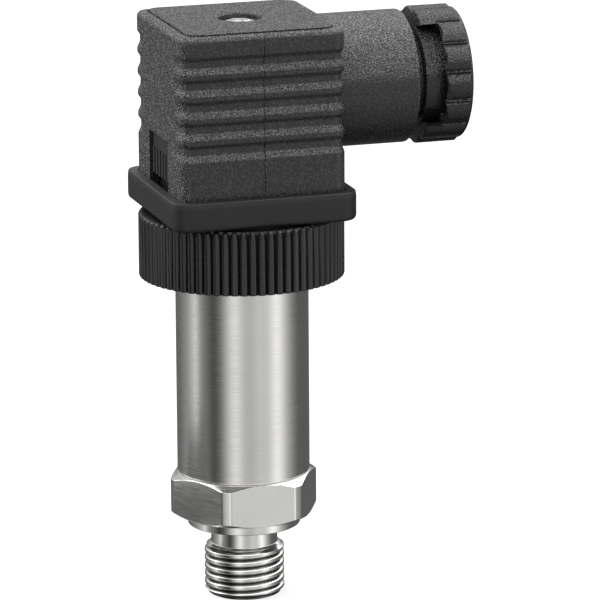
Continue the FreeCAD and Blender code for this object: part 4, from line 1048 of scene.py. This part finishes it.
LOBES = 14
LOBE_TOP = 11.2
LOBE_RADIUS = 3.5
LOBE_STEP = TURN / LOBES
LOBE_CLOCKING = math.radians(14.6)
LOBE_BLEND = 0.05
# The dip beside each notch and the bead in it
DIP_DEPTH, DIP_MIDDLE, DIP_WIDTH = 0.16, 0.26, 0.12
BEAD_TOP, BEAD_WIDTH, BEAD_HEIGHT, BEAD_BLEND = 10.9, 0.14, 0.12, 0.03
# The plain rim round the face, where the lobes end
FACE_RADIUS, FACE_START, FACE_EASE = 10.72, 0.65, 0.25
NUT_BORE, NUT_MOUTH, MOUTH_FLOOR = 4.3, 6.2, 29.65
SPIGOT_RADIUS, SPIGOT_TIP = 7.92, 7.5
RELIEF_RADIUS = 7.2
HUB_RADIUS, HUB_START = 8.8, 28.8
FLANGE_START = 31.5
FLANGE_STEP = 0.12
LUG_LOBES = 3
LUG_SPREAD = math.radians(43.0)
# Place along X and how far the lug's outline is drawn in there
LUG_EDGES = ((HUB_START + 0.05, 0.3), (HUB_START + 0.12, 0.1), (HUB_START + 0.3, 0.0),
             (FLANGE_START + 0.5, 0.0))
POCKET_RADIUS = 10.45
POCKET_DEPTH = 3.0
BACK_SCALLOP = 0.4


def lobe_surface(angle):
    """Radius of the lobed rim at an angle from a notch, with a fine bead in each notch."""
    from_middle = angle % LOBE_STEP - LOBE_STEP / 2
    centre = LOBE_TOP - LOBE_RADIUS
    reach = math.sqrt(LOBE_RADIUS ** 2 - (centre * math.sin(from_middle)) ** 2)
    lobe = centre * math.cos(from_middle) + reach
    from_notch = (math.pi / LOBES - abs(from_middle)) * LOBE_TOP
    lobe -= DIP_DEPTH * math.exp(-((from_notch - DIP_MIDDLE) / DIP_WIDTH) ** 2)
    bead = BEAD_TOP - (from_notch / BEAD_WIDTH) ** 2 * BEAD_HEIGHT
    return soft_most(lobe, bead, BEAD_BLEND)


def lobe_angles():
    """Angles round the nut, closer together at the notches."""
    shares = [0.0, 0.006, 0.012, 0.018, 0.024, 0.03, 0.036, 0.045, 0.06]
    shares += [0.09 + 0.41 * index / 8 for index in range(9)]
    shares += [1 - share for share in reversed(shares[1:-1])]
    return [LOBE_STEP * (lobe + share) for lobe in range(LOBES) for share in shares]


def even_arc(spread, steps):
    return [-spread + 2 * spread * step / steps for step in range(steps + 1)]


def gland_arc(x, spots):
    """Points at one x for spots of (radius, angle) about the gland's axis, the angle counted from upright."""
    return [(x, radius * math.sin(angle), GLAND_HEIGHT + radius * math.cos(angle)) for radius, angle in spots]


def lug(middle):
    """One of the two lobed segments behind the flange, closed by a chord."""
    phase = LUG_LOBES * LOBE_STEP / 2
    rings = []
    for x, inset in LUG_EDGES:
        spots = [(lobe_surface(angle + phase) - inset, middle + angle) for angle in even_arc(LUG_SPREAD, 48)]
        rings.append(gland_arc(x, spots))
    return capped(rings)


def pocket(middle):
    """The room for one of the two pockets between the lugs."""
    arc = even_arc(math.pi / 2 - LUG_SPREAD, 40)
    outer = [(POCKET_RADIUS, middle + angle) for angle in arc]
    inner = [(HUB_RADIUS, middle + angle) for angle in reversed(arc)]
    return capped([gland_arc(x, outer + inner) for x in (FLANGE_START - 0.5, FLANGE_START + POCKET_DEPTH)])


def nut():
    low, high = extent("gland_nut")
    tail, face = low.x, high.x

    def surface(radius, angle, height):
        if radius < POCKET_RADIUS or height < FLANGE_START - 0.01:
            return radius
        ending = eased((height - face + FACE_START) / FACE_EASE)
        return soft_least(radius, lobe_surface(angle) * (1 - ending) + FACE_RADIUS * ending, LOBE_BLEND)

    outline = rounded([
        (NUT_BORE, tail, 0.1), (SPIGOT_TIP, tail, 0.0), (SPIGOT_RADIUS, tail + 0.4, 0.0),
        (SPIGOT_RADIUS, HUB_START - 1.8, 0.0), (RELIEF_RADIUS, HUB_START - 1.5, 0.0),
        (RELIEF_RADIUS, HUB_START, 0.1), (HUB_RADIUS, HUB_START, 0.14), (HUB_RADIUS, FLANGE_START, 0.12),
        (LOBE_TOP, FLANGE_START, 0.14), (LOBE_TOP, face, 0.9), (NUT_MOUTH, face, 0.3),
        (NUT_BORE, MOUTH_FLOOR, 0.2),
    ], 6)
    outline = divided(outline, FLANGE_STEP, FLANGE_START, face)
    shift = -LOBE_CLOCKING - math.pi / 2
    sine, cosine = math.sin(shift), math.cos(shift)
    rings = []
    for ring in turned_rings(outline, lobe_angles(), surface):
        spots = []
        for x, y, z in ring:
            if math.hypot(x, y) > POCKET_RADIUS and z < FLANGE_START + 1.0:
                from_middle = math.atan2(y, x) % LOBE_STEP / LOBE_STEP * 2 - 1
                z += BACK_SCALLOP * (1 - from_middle ** 2) * (1 - eased(z - FLANGE_START))
            spots.append((x * cosine - y * sine, x * sine + y * cosine, z))
        rings.append(spots)
    piece = solid(*loft(to_gland(rings)))
    middles = (LOBE_STEP - LOBE_CLOCKING, LOBE_STEP - LOBE_CLOCKING + math.pi)
    combine(piece, "UNION", [lug(middle) for middle in middles])
    combine(piece, "DIFFERENCE", [pocket(middle + math.pi / 2) for middle in middles])
    finish_solid("nut", piece, "gland_nut", 32.0)


RIB_EDGE = 0.12
RIB_EDGE_ANGLE = math.radians(50.0)


def bevel_ribs():
    """A small round on the edges of the terminal block, which shows through the window."""
    modifier = frame["nodes"]["terminal_block"].modifiers.new("ribs", "BEVEL")
    modifier.width = RIB_EDGE * MM
    modifier.segments = 2
    modifier.limit_method = "ANGLE"
    modifier.angle_limit = RIB_EDGE_ANGLE


connection()
tube()
knurled_ring()
gasket()
housing()
cover()
screw()
nut()
bevel_ribs()

make_camera()
make_world()
make_floor()
make_shade_card()
bpy.context.scene.view_settings.view_transform = "Standard"
